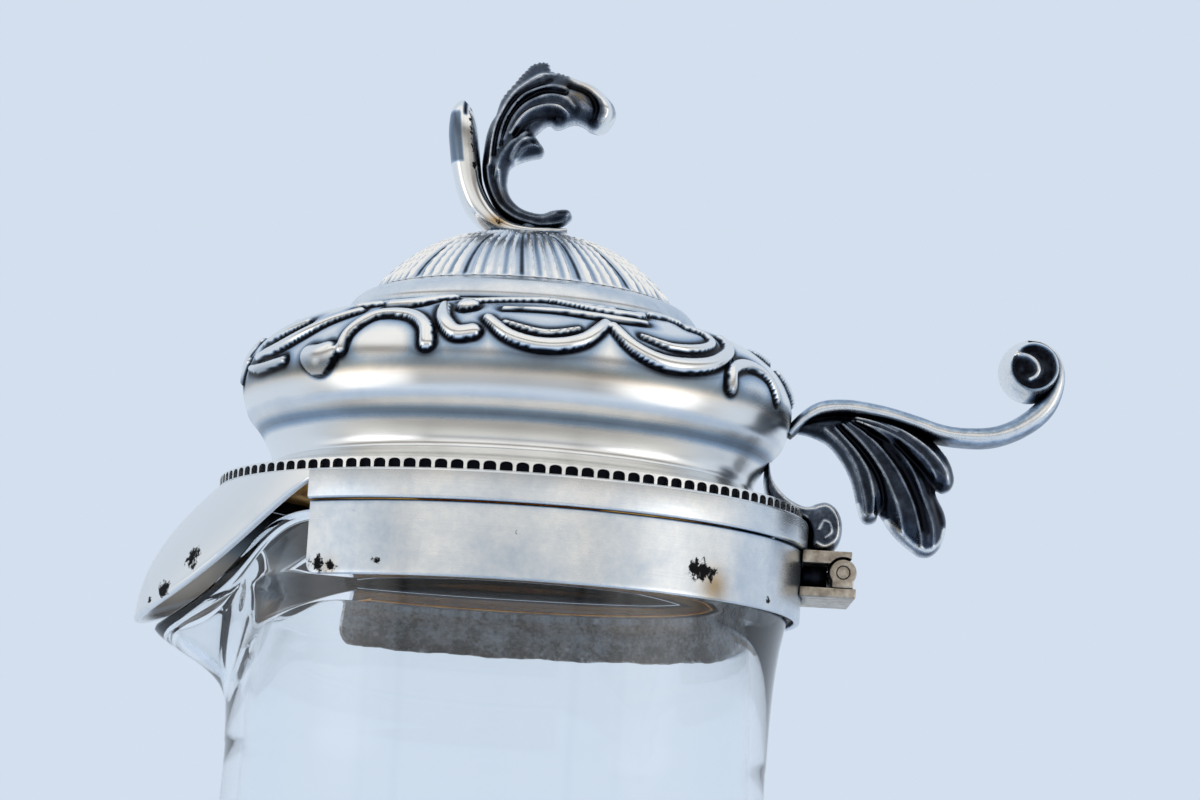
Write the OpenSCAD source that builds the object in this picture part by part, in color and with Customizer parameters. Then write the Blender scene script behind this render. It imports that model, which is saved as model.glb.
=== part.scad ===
// Claret jug: a clear glass body and handle, a silver collar bedded on the neck,
// and a hinged silver lid with a hood over the spout, a finial and a thumb lever.
// Millimetres. +Z is up, the spout points to -X, the hinge and handle to +X.
// The origin is the centre of the flat underside.

/* [Glass body] */
// Height of the lid's rim plane above the table
rim_z = 232; // [200:1:270]
// Widest outside radius of the belly
belly_r = 60; // [54:0.5:70]
// Height of the belly's widest place
belly_z = 66; // [52:1:84]
// Radius of the flat underside
foot_r = 44; // [38:0.5:50]
// Glass under the inside floor
floor_t = 10; // [7:0.5:14]
// Radius of the flat inside floor
floor_r = 37; // [30:0.5:39]
// Wall of the belly and the neck
wall_t = 2.4; // [2:0.1:3.2]
// Narrowest outside radius of the neck
neck_r = 38.2; // [36.5:0.1:39.4]
// Depth of the narrowest place below the rim plane
neck_drop = 36; // [32:0.5:44]

/* [Mouth and spout] */
// Outside radius of the glass inside the collar
mouth_r = 40.2; // [39.8:0.1:42]
// Thickness of the glass at the mouth
mouth_t = 4.7; // [3.5:0.1:5.5]
// Half angle of the gap that the collar leaves for the spout
spout_half = 51.5; // [44:0.5:56]
// How far the pouring lip reaches out past the mouth
lip_reach = 10.7; // [9:0.1:11]
// How far the pouring lip drops below the mouth
lip_drop = 14.5; // [12:0.1:15.5]
// Thickness of the glass at the lip's tip
lip_t = 3; // [2.4:0.1:3.6]
// Height over which the neck opens into the lip
lip_blend = 5.5; // [4.5:0.1:6.5]

/* [Glass handle] */
// Reach of the handle's middle line from the jug's axis
handle_reach = 84.5; // [80:0.5:92]
// Height of the handle's highest middle line
handle_top_z = 179; // [174:0.5:182]
// Height where the lower end joins the belly
handle_foot_z = 80; // [70:1:95]
// Radius of the handle's rod
handle_r = 4.8; // [4:0.1:5.6]

/* [Collar] */
// Bedding between the glass and the collar
cement_t = 0.9; // [0.5:0.1:1.4]
// Sheet of the collar
collar_t = 0.9; // [0.7:0.1:1.2]
// Height of the collar
collar_h = 10; // [8.5:0.1:11]
// Rounding of the collar's lower corners beside the spout
corner_r = 1.5; // [0.8:0.1:2.5]
// Thickness of the gilt ring on the glass rim
ring_t = 0.6; // [0.4:0.1:0.9]

/* [Lid] */
// Gap between the closed lid and the collar
lid_gap = 0.15; // [0.1:0.05:0.3]
// Height of the plain rim band
band_h = 4.1; // [3.6:0.1:4.6]
// How far the rim band stands out past the collar
band_lap = 0.6; // [0.4:0.1:1]
// Thickness of the rim band
band_t = 1.2; // [0.9:0.1:1.4]
// Height of the gallery border
border_h = 1.5; // [1.2:0.1:1.8]
// Width of the gallery border's ring
border_w = 1.9; // [1.7:0.1:2.2]
// Depth of the border's niches
niche_d = 0.7; // [0.4:0.1:0.9]
// Number of niches in the gallery border
niche_count = 120; // [100:1:130]
// Sheet of the lid
sheet_t = 0.9; // [0.7:0.1:1.1]
// Radius of the lid's waist
waist_r = 34.5; // [33:0.1:35.5]
// Height of the waist above the rim plane
waist_h = 4.9; // [4.4:0.1:5.6]
// Radius of the lid's bulge
bulge_r = 39.4; // [38.6:0.1:40]
// Height of the bulge above the rim plane
bulge_h = 15.2; // [14:0.1:16.4]
// Outside radius of the plain collet band
collet_r = 25.2; // [24.4:0.1:26.2]
// Height of the collet band's foot above the rim plane
collet_h = 26; // [25:0.1:27]
// Radius of the fluted dome
dome_r = 21.6; // [20.8:0.1:22.4]
// Height of the dome's foot above the rim plane
dome_foot_h = 30; // [29.2:0.1:31]
// Height of the dome's crown above the rim plane
dome_top_h = 40.2; // [38:0.1:42]

/* [Spout hood] */
// How far the hood's tip reaches past the rim band
hood_reach = 9.8; // [8.8:0.1:11]
// Depth of the hood's tip below the rim plane
hood_drop = 19.2; // [17:0.1:20]
// Sheet of the hood
hood_t = 0.9; // [0.7:0.1:1]

/* [Hinge] */
// Hinge axis past the collar
hinge_reach = 5.4; // [5.2:0.1:6]
// Hinge axis below the rim plane
hinge_drop = 7.1; // [6.8:0.1:7.4]
// Radius of the knuckles
knuckle_r = 1.9; // [1.7:0.1:2]
// Length of the hinge
hinge_len = 16; // [14:0.5:20]
// Length of the middle knuckle
mid_len = 6; // [5:0.5:7]
// Gap between neighbouring knuckles
knuckle_gap = 0.2; // [0.1:0.05:0.3]
// Radius of the hinge pin
pin_r = 0.9; // [0.7:0.05:1]
// Running clearance of the middle knuckle on the pin
pin_play = 0.05; // [0.02:0.01:0.08]
// Thickness of the two hinge leaves
leaf_t = 1.4; // [1.2:0.1:1.6]

/* [Thumb lever] */
// Reach of the lever from the lid's bulge to its roll's middle
thumb_reach = 34.2; // [30:0.1:38]
// Rise of the roll's middle above the lever's root
thumb_rise = 9.6; // [8:0.1:12]
// Height of the lever's root above the rim plane
thumb_root_h = 14.7; // [14:0.1:15.6]
// Thickness of the lever
arm_t = 2.6; // [2:0.1:3.2]
// Width of the lever
arm_w = 9; // [7:0.5:11]
// Radius of the roll at the lever's end
roll_r = 4.2; // [3.6:0.1:4.8]
// Width of the roll
roll_w = 13; // [10:0.5:15]
// Length of the acanthus leaf under the lever
thumb_leaf_len = 21; // [18:0.5:23]
// Width of the acanthus leaf
thumb_leaf_w = 15; // [12:0.5:18]
// Radius of the small scroll over the hinge
scroll_r = 3.5; // [3.1:0.1:3.8]
// Thickness of the small scroll's band
scroll_t = 1.7; // [1.2:0.1:1.9]
// Width of the small scroll
scroll_w = 7; // [5:0.5:9]

/* [Finial] */
// Height of the finial's smooth strap
strap_h = 18; // [15:0.5:21]
// Thickness of the strap
strap_t = 3.8; // [3:0.1:4.2]
// Width of the strap
strap_w = 8; // [6:0.5:10]
// Height of the finial's leaf
finial_h = 24; // [21:0.5:27]
// Width of the finial's leaf
finial_w = 12; // [9:0.5:15]
// Thickness of the leaf's stem
stem_t = 3; // [2.6:0.1:3.2]
// Radius of the finial's threaded stud
stud_r = 1.3; // [1:0.1:1.5]
// Length of the stud below the crown of the dome
stud_drop = 4.5; // [4:0.1:6]
// Radius across the nut's corners
nut_r = 3; // [2.6:0.1:3.4]
// Height of the nut
nut_h = 2.2; // [1.8:0.1:2.6]

/* [Hidden] */

$fn = 96;
seat = 0.02;          // hair gap between two fixed pieces with a curved seat
fit_gap = 0.3;        // gap between the moving leaf and the fixed pieces
embed = 0.5;          // how far a joined form reaches into its neighbour
reach_all = 200;      // longer than any piece, for cutting tools
spout_az = 180;
neck_step = 5;        // degrees between the neck's meridians
neck_rings = 14;      // rings from the neck up to the glass rim
curve_steps = 4;      // points between two stations of a drawn curve
bar_sides = 12;

collar_in_r = mouth_r + cement_t;
collar_r = collar_in_r + collar_t;
collar_top = rim_z - band_h - lid_gap;
collar_low = collar_top - collar_h;
glass_top = collar_top - ring_t;
neck_z = rim_z - neck_drop;
band_r = collar_r + band_lap;
border_r = collar_r - 0.4;
shell_r = border_r - 0.6;
border_in_r = border_r - border_w;
hinge_x = collar_r + hinge_reach;
hinge_z = rim_z - hinge_drop;
upper_leaf_top = rim_z - band_h;
lower_leaf_top = hinge_z - knuckle_r - fit_gap;
side_len = (hinge_len - mid_len) / 2 - knuckle_gap;
crown_z = rim_z + dome_top_h;
opening_angle = 360 - 2 * spout_half;

// ---- curves ----

// One point of a smooth curve through b and c
function smooth_at(a, b, c, d, t) =
    0.5 * (2 * b + (c - a) * t + (2 * a - 5 * b + 4 * c - d) * t * t
    + (3 * b - 3 * c + d - a) * t * t * t);

// A smooth curve through every station, with n steps between two of them
function smooth(p, n) = let (last = len(p) - 1) concat(
    [for (i = [0:last - 1], k = [0:n - 1])
        smooth_at(p[max(i - 1, 0)], p[i], p[i + 1], p[min(i + 2, last)], k / n)],
    [p[last]]);

function flip(p) = [for (i = [len(p) - 1:-1:0]) p[i]];
function unit(v) = v / norm(v);
function along(p, i) = unit(p[min(i + 1, len(p) - 1)] - p[max(i - 1, 0)]);

// The outline p moved sideways by t, to the left of its direction
function beside(p, t) = [for (i = [0:len(p) - 1])
    let (d = along(p, i)) p[i] + t * [-d[1], d[0]]];

// From 0 at the spout's sides to 1 at its middle
function spout_wave(az) = abs(az - spout_az) >= spout_half ? 0
    : (1 + cos(180 * (az - spout_az) / spout_half)) / 2;

// ---- glass ----

function belly_out(z) = z <= belly_z
    ? foot_r + (belly_r - foot_r) * sqrt(1 - pow(1 - z / belly_z, 2))
    : neck_r + (belly_r - neck_r) * (1 + cos(180 * (z - belly_z) / (neck_z - belly_z))) / 2;

function belly_in(z) = z <= belly_z
    ? floor_r + (belly_r - wall_t - floor_r)
        * sqrt(1 - pow(1 - (z - floor_t) / (belly_z - floor_t), 2))
    : belly_out(z) - wall_t;

// Heights crowded towards the low end, where the curve turns fastest
function crowded(low, high, n) = [for (i = [0:n]) low + (high - low) * (1 - cos(90 * i / n))];
function spread(low, high, n) = [for (i = [1:n]) low + (high - low) * i / n];

// The neck opens towards the collar and stays straight inside it
function neck_out(z) = neck_r + (mouth_r - neck_r) * exp(-max(0, collar_low - z) / flare_h);
function neck_wall(z) = wall_t
    + (mouth_t - wall_t) * exp(-max(0, collar_low - z) / flare_h);

function rim_at(az) = glass_top - lip_drop * pow(spout_wave(az), 1.4);
function lip_out(az, z) = neck_out(z)
    + lip_reach * pow(spout_wave(az), 3.9) * exp(-pow((rim_at(az) - z) / lip_blend, 2));
function lip_in(az, z) = neck_out(z) - neck_wall(z)
    + (lip_reach + neck_wall(z) - lip_t) * pow(spout_wave(az), 3.9)
        * exp(-pow((rim_at(az) - z) / (0.84 * lip_blend), 2));

flare_h = 0.75 * collar_h;
neck_low = neck_z - embed;
function ring_z(az, k) = neck_low + (rim_at(az) - neck_low) * sin(90 * k / neck_rings);
function ring_point(r, az, z) = [r * cos(az), r * sin(az), z];

module glass_neck() {
    n = 360 / neck_step;
    m = neck_rings;
    outer = [for (k = [0:m], i = [0:n - 1]) let (az = i * neck_step, z = ring_z(az, k))
        ring_point(lip_out(az, z) - 2 * seat, az, z)];
    inner = [for (k = [0:m], i = [0:n - 1]) let (az = i * neck_step, z = ring_z(az, k))
        ring_point(lip_in(az, z) + 4 * seat, az, z)];
    b = n * (m + 1);
    wall = [for (k = [0:m - 1], i = [0:n - 1]) let (j = (i + 1) % n)
        [[k * n + i, k * n + n + i, k * n + n + j], [k * n + i, k * n + n + j, k * n + j]]];
    polyhedron(points = concat(outer, inner), faces = concat(
        [for (q = wall, f = q) f],
        [for (q = wall, f = q) [f[2] + b, f[1] + b, f[0] + b]],
        [for (i = [0:n - 1]) let (j = (i + 1) % n) each [
            [i, j, b + j], [i, b + j, b + i],
            [m * n + j, m * n + i, b + m * n + i], [m * n + j, b + m * n + i, b + m * n + j]]]));
}

function belly_outline() = [for (z = concat(crowded(0, belly_z, 10), spread(belly_z, neck_z, 16)))
    [belly_out(z), z]];
function hollow_outline() = [for (z = concat(crowded(floor_t, belly_z, 10),
    spread(belly_z, neck_z, 16))) [belly_in(z), z]];

module glass_body() {
    color([0.82, 0.88, 0.92, 0.5]) union() {
        rotate_extrude() polygon(concat([[0, 0]], belly_outline(), flip(hollow_outline()),
            [[0, floor_t]]));
        glass_neck();
    }
}

// A bar that follows stations [x, z, half thickness, half width] in the plane y = 0
module bar(stations, sides = bar_sides) {
    path = smooth(stations, curve_steps);
    mids = [for (s = path) [s[0], s[1]]];
    n = len(path);
    rings = [for (i = [0:n - 1]) let (d = along(mids, i)) for (k = [0:sides - 1])
        let (a = 360 * k / sides, t = path[i][2] * cos(a))
        [path[i][0] - d[1] * t, path[i][3] * sin(a), path[i][1] + d[0] * t]];
    polyhedron(points = rings, faces = concat(
        [[for (k = [0:sides - 1]) k]],
        [[for (k = [sides - 1:-1:0]) (n - 1) * sides + k]],
        [for (i = [0:n - 2], k = [0:sides - 1]) let (a = i * sides, j = (k + 1) % sides)
            each [[a + k, a + sides + k, a + sides + j], [a + k, a + sides + j, a + j]]]));
}

module glass_handle() {
    drop = handle_top_z - handle_foot_z;
    root_z = handle_top_z - 0.12 * drop;
    root_x = belly_out(root_z) - wall_t;
    foot_x = belly_out(handle_foot_z) - wall_t;
    top = handle_reach - root_x;
    low = handle_reach - foot_x;
    r = handle_r;
    color([0.82, 0.88, 0.92, 0.5]) difference() {
        bar([[root_x, root_z - 0.02 * drop, 1.5 * r, 1.5 * r],
            [root_x + 0.15 * top, root_z + 0.03 * drop, 1.12 * r, 1.2 * r],
            [root_x + 0.37 * top, handle_top_z - 0.024 * drop, r, 1.12 * r],
            [root_x + 0.52 * top, handle_top_z, r, 1.12 * r],
            [root_x + 0.83 * top, handle_top_z - 0.08 * drop, r, 1.1 * r],
            [root_x + 0.98 * top, handle_top_z - 0.22 * drop, r, 1.06 * r],
            [handle_reach, handle_top_z - 0.42 * drop, r, r],
            [handle_reach - 0.1 * low, handle_top_z - 0.62 * drop, 0.96 * r, r],
            [handle_reach - 0.34 * low, handle_foot_z + 0.2 * drop, 0.94 * r, r],
            [foot_x + 0.34 * low, handle_foot_z + 0.08 * drop, r, 1.08 * r],
            [foot_x, handle_foot_z, 1.38 * r, 1.42 * r]]);
        rotate_extrude() polygon(concat([[0, 0]],
            [for (p = belly_outline()) p + [seat, 0]], [[0, neck_z]]));
    }
}

// ---- silver on the neck ----

// A ring with a gap for the spout, from radius a to b and from z low to high
module open_ring(a, b, low, high) {
    rotate([0, 0, -opening_angle / 2]) rotate_extrude(angle = opening_angle)
        polygon([[a, low], [b, low], [b, high], [a, high]]);
}

module cement_bed() {
    color([0.55, 0.52, 0.49])
        open_ring(mouth_r + seat, collar_in_r - seat, collar_low + fit_gap, glass_top - seat);
}

// Cuts the lower corner off one end of the collar, leaving it round
module corner_cut(side) {
    rotate([0, 0, side * opening_angle / 2]) translate([collar_in_r - 1, 0, collar_low])
        rotate([0, 90, 0]) linear_extrude(collar_t + 2) polygon(concat(
            [for (t = [0:15:90]) corner_r * [sin(t) - 1, side * (cos(t) - 1)]],
            [[1, -side * corner_r], [1, side], [-corner_r, side]]));
}

module neck_collar() {
    color([0.80, 0.79, 0.77]) difference() {
        open_ring(collar_in_r, collar_r, collar_low, collar_top);
        corner_cut(1);
        corner_cut(-1);
    }
}

module mouth_ring() {
    color([0.80, 0.58, 0.25])
        open_ring(mouth_r - mouth_t - seat, collar_in_r - seat, glass_top, collar_top);
}

// A round rod along the hinge axis, centred at y
module hinge_rod(r, length, y = 0) {
    translate([hinge_x, y + length / 2, hinge_z]) rotate([90, 0, 0]) cylinder(r = r, h = length);
}

module collar_hinge_leaf() {
    right = hinge_x + knuckle_r;
    color([0.66, 0.64, 0.60]) difference() {
        translate([collar_in_r, -hinge_len / 2, lower_leaf_top - leaf_t])
            cube([right - collar_in_r, hinge_len, leaf_t]);
        cylinder(r = collar_r + seat, h = reach_all * 2);
    }
}

module side_knuckle(y) {
    difference() {
        union() {
            hinge_rod(knuckle_r, side_len, y);
            translate([hinge_x - knuckle_r + 0.4, y - side_len / 2, lower_leaf_top])
                cube([2 * knuckle_r - 0.8, side_len, hinge_z - lower_leaf_top]);
        }
        hinge_rod(pin_r + seat, reach_all, y);
    }
}

module side_knuckles() {
    y = hinge_len / 2 - side_len / 2;
    color([0.62, 0.58, 0.52]) {
        side_knuckle(y);
        side_knuckle(-y);
    }
}

module hinge_pin() {
    color([0.58, 0.54, 0.48]) hinge_rod(pin_r, hinge_len);
}

// ---- lid ----

// The outside of the lid's sheet, from the gallery border up to the collet band
function shell_outline() = smooth([
    [shell_r, rim_z + border_h + embed],
    [waist_r + 0.55 * (shell_r - waist_r), rim_z + border_h + 0.24 * (waist_h - border_h)],
    [waist_r + 0.16 * (shell_r - waist_r), rim_z + border_h + 0.5 * (waist_h - border_h)],
    [waist_r, rim_z + waist_h],
    [waist_r + 0.37 * (bulge_r - waist_r), rim_z + waist_h + 0.34 * (bulge_h - waist_h)],
    [waist_r + 0.80 * (bulge_r - waist_r), rim_z + waist_h + 0.60 * (bulge_h - waist_h)],
    [bulge_r, rim_z + bulge_h],
    [bulge_r - 0.05 * (bulge_r - collet_r), rim_z + bulge_h + 0.30 * (collet_h - bulge_h)],
    [bulge_r - 0.18 * (bulge_r - collet_r), rim_z + bulge_h + 0.55 * (collet_h - bulge_h)],
    [bulge_r - 0.42 * (bulge_r - collet_r), rim_z + bulge_h + 0.78 * (collet_h - bulge_h)],
    [bulge_r - 0.75 * (bulge_r - collet_r), rim_z + bulge_h + 0.94 * (collet_h - bulge_h)],
    [collet_r - embed, rim_z + collet_h]], curve_steps);

module lid_shell() {
    outside = shell_outline();
    seat_z = rim_z + border_h + seat;
    inside = [for (p = beside(outside, sheet_t))
        [p[0], p[0] > border_in_r - 2 * seat ? max(p[1], seat_z) : p[1]]];
    color([0.84, 0.84, 0.83]) difference() {
        rotate_extrude() polygon(concat(outside, flip(inside)));
        rotate_extrude() translate([border_in_r - seat, seat_z - 3]) square([border_w + 1, 3]);
    }
}

function collet_outline() = let (z = rim_z + collet_h + seat, h = dome_foot_h - collet_h) smooth([
    [collet_r, z],
    [collet_r - 0.08 * (collet_r - dome_r), z + 0.36 * h],
    [collet_r - 0.4 * (collet_r - dome_r), z + 0.74 * h],
    [dome_r, z + h]], curve_steps);

module collet_band() {
    outside = collet_outline();
    color([0.86, 0.85, 0.83]) rotate_extrude()
        polygon(concat(outside, [[dome_r - sheet_t, rim_z + dome_foot_h]],
            [[collet_r - 2 * sheet_t, rim_z + collet_h + seat]]));
}

function dome_outline() = let (h = dome_top_h - dome_foot_h) smooth([
    [dome_r, rim_z + dome_foot_h + 2 * seat],
    [0.96 * dome_r, rim_z + dome_foot_h + 0.15 * h],
    [0.85 * dome_r, rim_z + dome_foot_h + 0.39 * h],
    [0.69 * dome_r, rim_z + dome_foot_h + 0.65 * h],
    [0.5 * dome_r, rim_z + dome_foot_h + 0.84 * h],
    [0.25 * dome_r, rim_z + dome_foot_h + 0.96 * h],
    [0, crown_z]], curve_steps);

module fluted_dome() {
    outside = dome_outline();
    inside = [for (p = beside(outside, sheet_t)) [max(p[0], 0), max(p[1], outside[0][1])]];
    color([0.74, 0.75, 0.76]) difference() {
        rotate_extrude() polygon(concat(outside, flip(inside)));
        cylinder(r = stud_r + seat, h = reach_all * 2);
    }
}

// Everything under the dome's outside, for seating the finial
module dome_solid() {
    rotate_extrude() polygon(concat([[0, rim_z]], [[dome_r, rim_z]],
        [for (p = dome_outline()) p + [0, seat]]));
}

// Everything inside the shell's outside, for seating the lever
module shell_solid() {
    rotate_extrude() polygon(concat([[0, rim_z]], [[shell_r, rim_z]],
        [for (p = shell_outline()) p + [seat, 0]], [[0, rim_z + collet_h]]));
}

module rim_band() {
    color([0.82, 0.81, 0.79])
        open_ring(band_r - band_t, band_r, rim_z - band_h, rim_z - seat);
}

// One side of a niche is a short radial wall, so the ring's outline steps in and out
module gallery_border() {
    pitch = 360 / niche_count;
    outline = [for (i = [0:niche_count - 1]) let (a = i * pitch) each [
        border_r * [cos(a), sin(a)],
        border_r * [cos(a + 0.3 * pitch), sin(a + 0.3 * pitch)],
        (border_r - niche_d) * [cos(a + 0.4 * pitch), sin(a + 0.4 * pitch)],
        (border_r - niche_d) * [cos(a + 0.9 * pitch), sin(a + 0.9 * pitch)]]];
    color([0.55, 0.55, 0.57]) translate([0, 0, rim_z]) linear_extrude(border_h) difference() {
        polygon(outline);
        circle(border_in_r);
    }
}

// ---- hood ----

hood_root_r = border_r;
hood_tip_r = band_r + hood_reach;
hood_meridians = 28;
hood_steps = 8;
hood_round = 12;      // degrees over which the hood's tip is rounded
hood_edge = sheet_t;  // height of the hood's sides, where it runs out on the rim

// From 0 at the hood's sides to 1 at its tip, with a rounded tip
function hood_wave(az) = let (e = hood_round)
    1 - (sqrt(az * az + e * e) - e) / (sqrt(spout_half * spout_half + e * e) - e);
function hood_low(az) = rim_z - hood_edge
    - (hood_drop - hood_edge) * pow(hood_wave(az), 1.12);
function hood_edge_r(az) = hood_root_r + (hood_tip_r - hood_root_r) * pow(hood_wave(az), 3);

// The outside of the hood along one meridian, from the border down to the free edge
function hood_line(az) = [for (k = [0:hood_steps]) let (u = k / hood_steps)
    [hood_root_r + (hood_edge_r(az) - hood_root_r) * sin(90 * pow(u, 0.85)),
        rim_z - seat + (hood_low(az) - rim_z) * u]];

module spout_hood() {
    azs = [for (i = [0:hood_meridians]) spout_half * (2 * i / hood_meridians - 1)];
    n = hood_steps + 1;
    m = len(azs);
    outer = [for (a = azs) each [for (p = hood_line(a)) ring_point(p[0], spout_az + a, p[1])]];
    inner = [for (a = azs) each [for (p = beside(hood_line(a), -hood_t))
        ring_point(p[0], spout_az + a, min(p[1], rim_z - seat))]];
    b = n * m;
    sheet = [for (i = [0:m - 2], k = [0:n - 2]) let (a = i * n + k)
        each [[a, a + 1, a + n + 1], [a, a + n + 1, a + n]]];
    edge = concat([for (i = [0:m - 2]) [i * n, i * n + n]],
        [for (k = [0:n - 2]) [(m - 1) * n + k, (m - 1) * n + k + 1]],
        [for (i = [m - 2:-1:0]) [i * n + n + n - 1, i * n + n - 1]],
        [for (k = [n - 2:-1:0]) [k + 1, k]]);
    color([0.83, 0.82, 0.80]) polyhedron(points = concat(outer, inner), faces = concat(
        sheet, [for (f = sheet) [f[2] + b, f[1] + b, f[0] + b]],
        [for (e = edge) each [[e[0], e[1], e[1] + b], [e[0], e[1] + b, e[0] + b]]]));
}

// ---- lid side of the hinge ----

module lid_hinge_leaf() {
    right = hinge_x + 0.6 * knuckle_r;
    color([0.66, 0.64, 0.60]) difference() {
        translate([collar_in_r, -hinge_len / 2, upper_leaf_top - leaf_t - 0.4])
            cube([right - collar_in_r, hinge_len, leaf_t + 0.4 - seat]);
        cylinder(r = collar_r + fit_gap, h = reach_all * 2);
        for (side = [-1, 1])
            hinge_rod(knuckle_r + fit_gap, side_len + knuckle_gap + 1,
                side * (mid_len / 2 + (side_len + knuckle_gap + 1) / 2));
        hinge_rod(knuckle_r + seat, mid_len + seat);
    }
}

module center_knuckle() {
    color([0.62, 0.58, 0.52]) difference() {
        hinge_rod(knuckle_r, mid_len);
        hinge_rod(pin_r + pin_play, reach_all);
    }
}

// A drum across the jug, with its middle at x and z
module drum(x, z, r, width) {
    translate([x, width / 2, z]) rotate([90, 0, 0]) cylinder(r = r, h = width);
}

// Small scroll that stands on the hinge leaf and curls up against the lid's waist
module hinge_scroll() {
    x = band_r + 0.43 * scroll_r;
    z = upper_leaf_top + scroll_r - embed / 2;
    t = scroll_t / 2;
    flare = bulge_r - waist_r;
    rise = bulge_h - waist_h;
    wall_x = waist_r + t + fit_gap;
    curl = smooth([
        [x + 0.6 * t, z + scroll_r - 3 * t],
        [x - 0.28 * (x - waist_r), z + scroll_r + 0.1 * t],
        [x - 0.52 * (x - waist_r), z + scroll_r + t],
        [wall_x + 0.27 * flare, rim_z + waist_h + 0.05 * rise],
        [wall_x + 0.23 * flare, rim_z + waist_h + 0.21 * rise],
        [wall_x + 0.43 * flare, rim_z + waist_h + 0.38 * rise]], curve_steps);
    color([0.42, 0.42, 0.43]) difference() {
        translate([0, scroll_w / 2, 0]) rotate([90, 0, 0]) {
            linear_extrude(scroll_w) translate([x, z]) circle(scroll_r);
            linear_extrude(scroll_w) polygon(concat(beside(curl, t), flip(beside(curl, -t))));
        }
        cylinder(r = band_r + seat, h = rim_z + border_h + embed + 2 * seat);
        translate([0, -reach_all / 2, upper_leaf_top - reach_all + seat])
            cube(reach_all);
    }
}

thumb_x = bulge_r;
thumb_z = rim_z + thumb_root_h;
roll_x = thumb_x + thumb_reach;
roll_z = thumb_z + thumb_rise;

// Cast lever: rises from the lid, dips, and turns up into the roll
module thumb_arm() {
    t = arm_t / 2;
    w = arm_w / 2;
    l = thumb_reach;
    h = thumb_rise;
    color([0.70, 0.71, 0.72]) difference() {
        bar([[thumb_x - 1, thumb_z - 0.3, t * 0.7, w * 0.6],
            [thumb_x + 0.12 * l, thumb_z + 0.17 * h, t * 0.8, w * 0.75],
            [thumb_x + 0.26 * l, thumb_z + 0.22 * h, t, w],
            [thumb_x + 0.42 * l, thumb_z + 0.14 * h, t, w],
            [thumb_x + 0.58 * l, thumb_z - 0.02 * h, t, w],
            [thumb_x + 0.72 * l, thumb_z - 0.09 * h, t, w],
            [thumb_x + 0.86 * l, thumb_z - 0.06 * h, t, w],
            [thumb_x + l - 0.2 * t, roll_z - roll_r - 2 * t - 0.6, t, w],
            [roll_x + roll_r * 0.75, roll_z - roll_r * 0.95, t, w],
            [roll_x + roll_r * 0.95, roll_z, t * 0.5, w]]);
        shell_solid();
        drum(roll_x, roll_z, roll_r + seat, reach_all);
    }
}

module thumb_roll() {
    color([0.60, 0.61, 0.63]) drum(roll_x, roll_z, roll_r, roll_w);
}

// Acanthus leaf that springs under the lever's crest and hangs down behind it
module thumb_leaf() {
    l = thumb_leaf_len;
    w = thumb_leaf_w / 2;
    top = thumb_z + 0.1 * thumb_rise - arm_t / 2;
    color([0.25, 0.26, 0.28]) difference() {
        bar([[thumb_x - 0.5, top - 1.2, 0.5, w * 0.3],
            [thumb_x + 0.28 * l, top - 1.6, 1.3, w * 0.6],
            [thumb_x + 0.52 * l, top - 0.22 * l, 3, w * 0.9],
            [thumb_x + 0.70 * l, top - 0.42 * l, 4.6, w],
            [thumb_x + 0.82 * l, top - 0.62 * l, 4.4, w * 0.9],
            [thumb_x + 0.92 * l, top - 0.80 * l, 2.4, w * 0.6],
            [thumb_x + 0.95 * l, top - 0.88 * l, 0.6, w * 0.25]]);
        shell_solid();
    }
}

// ---- finial ----

// Smooth strap: rises from the crown towards the spout side, with a free end
module finial_strap() {
    h = strap_h;
    t = strap_t / 2;
    w = strap_w / 2;
    color([0.78, 0.78, 0.78]) difference() {
        bar([[-0.19 * h, crown_z - 0.09 * h, t * 0.6, w * 0.8],
            [-0.325 * h, crown_z + 0.05 * h, t * 0.75, w * 0.9],
            [-0.445 * h, crown_z + 0.20 * h, t * 0.8, w],
            [-0.515 * h, crown_z + 0.40 * h, t * 0.9, w],
            [-0.545 * h, crown_z + 0.62 * h, t, w],
            [-0.575 * h, crown_z + 0.84 * h, t * 0.8, w * 0.8],
            [-0.58 * h, crown_z + 0.98 * h, t * 0.25, w * 0.3]]);
        dome_solid();
    }
}

// Stem that curls up from its foot, and the acanthus leaf that bends over from it
module finial_leaf() {
    h = finial_h;
    t = stem_t / 2;
    w = finial_w / 2;
    color([0.28, 0.29, 0.31]) difference() {
        bar([[0.25 * h, crown_z + 2.4, t * 0.6, w * 0.35],
            [0.12 * h, crown_z + 1.5, t * 0.85, w * 0.5],
            [-0.01 * h, crown_z + 1.6, t, w * 0.5],
            [-0.105 * h, crown_z + 0.11 * h, t * 0.9, w * 0.5],
            [-0.175 * h, crown_z + 0.21 * h, t * 0.9, w * 0.5],
            [-0.205 * h, crown_z + 0.33 * h, t * 0.9, w * 0.55],
            [-0.19 * h, crown_z + 0.48 * h, t * 1.3, w * 0.75],
            [-0.10 * h, crown_z + 0.68 * h, t * 2.2, w],
            [0.04 * h, crown_z + 0.81 * h, t * 2.4, w],
            [0.18 * h, crown_z + 0.80 * h, t * 2.1, w * 0.9],
            [0.32 * h, crown_z + 0.75 * h, t * 1.8, w * 0.7],
            [0.43 * h, crown_z + 0.68 * h, t * 0.8, w * 0.35]]);
        dome_solid();
        translate([0, 0, crown_z - stud_drop]) cylinder(r = stud_r + seat, h = stud_drop + 2);
    }
}

module finial_stud() {
    color([0.70, 0.68, 0.64]) translate([0, 0, crown_z - stud_drop])
        cylinder(r = stud_r, h = stud_drop + 1.9);
}

module finial_nut() {
    color([0.72, 0.60, 0.35]) translate([0, 0, crown_z - sheet_t - 0.2 - nut_h]) difference() {
        cylinder(r = nut_r, h = nut_h, $fn = 6);
        translate([0, 0, -1]) cylinder(r = stud_r + seat, h = nut_h + 2, $fn = 96);
    }
}

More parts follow.
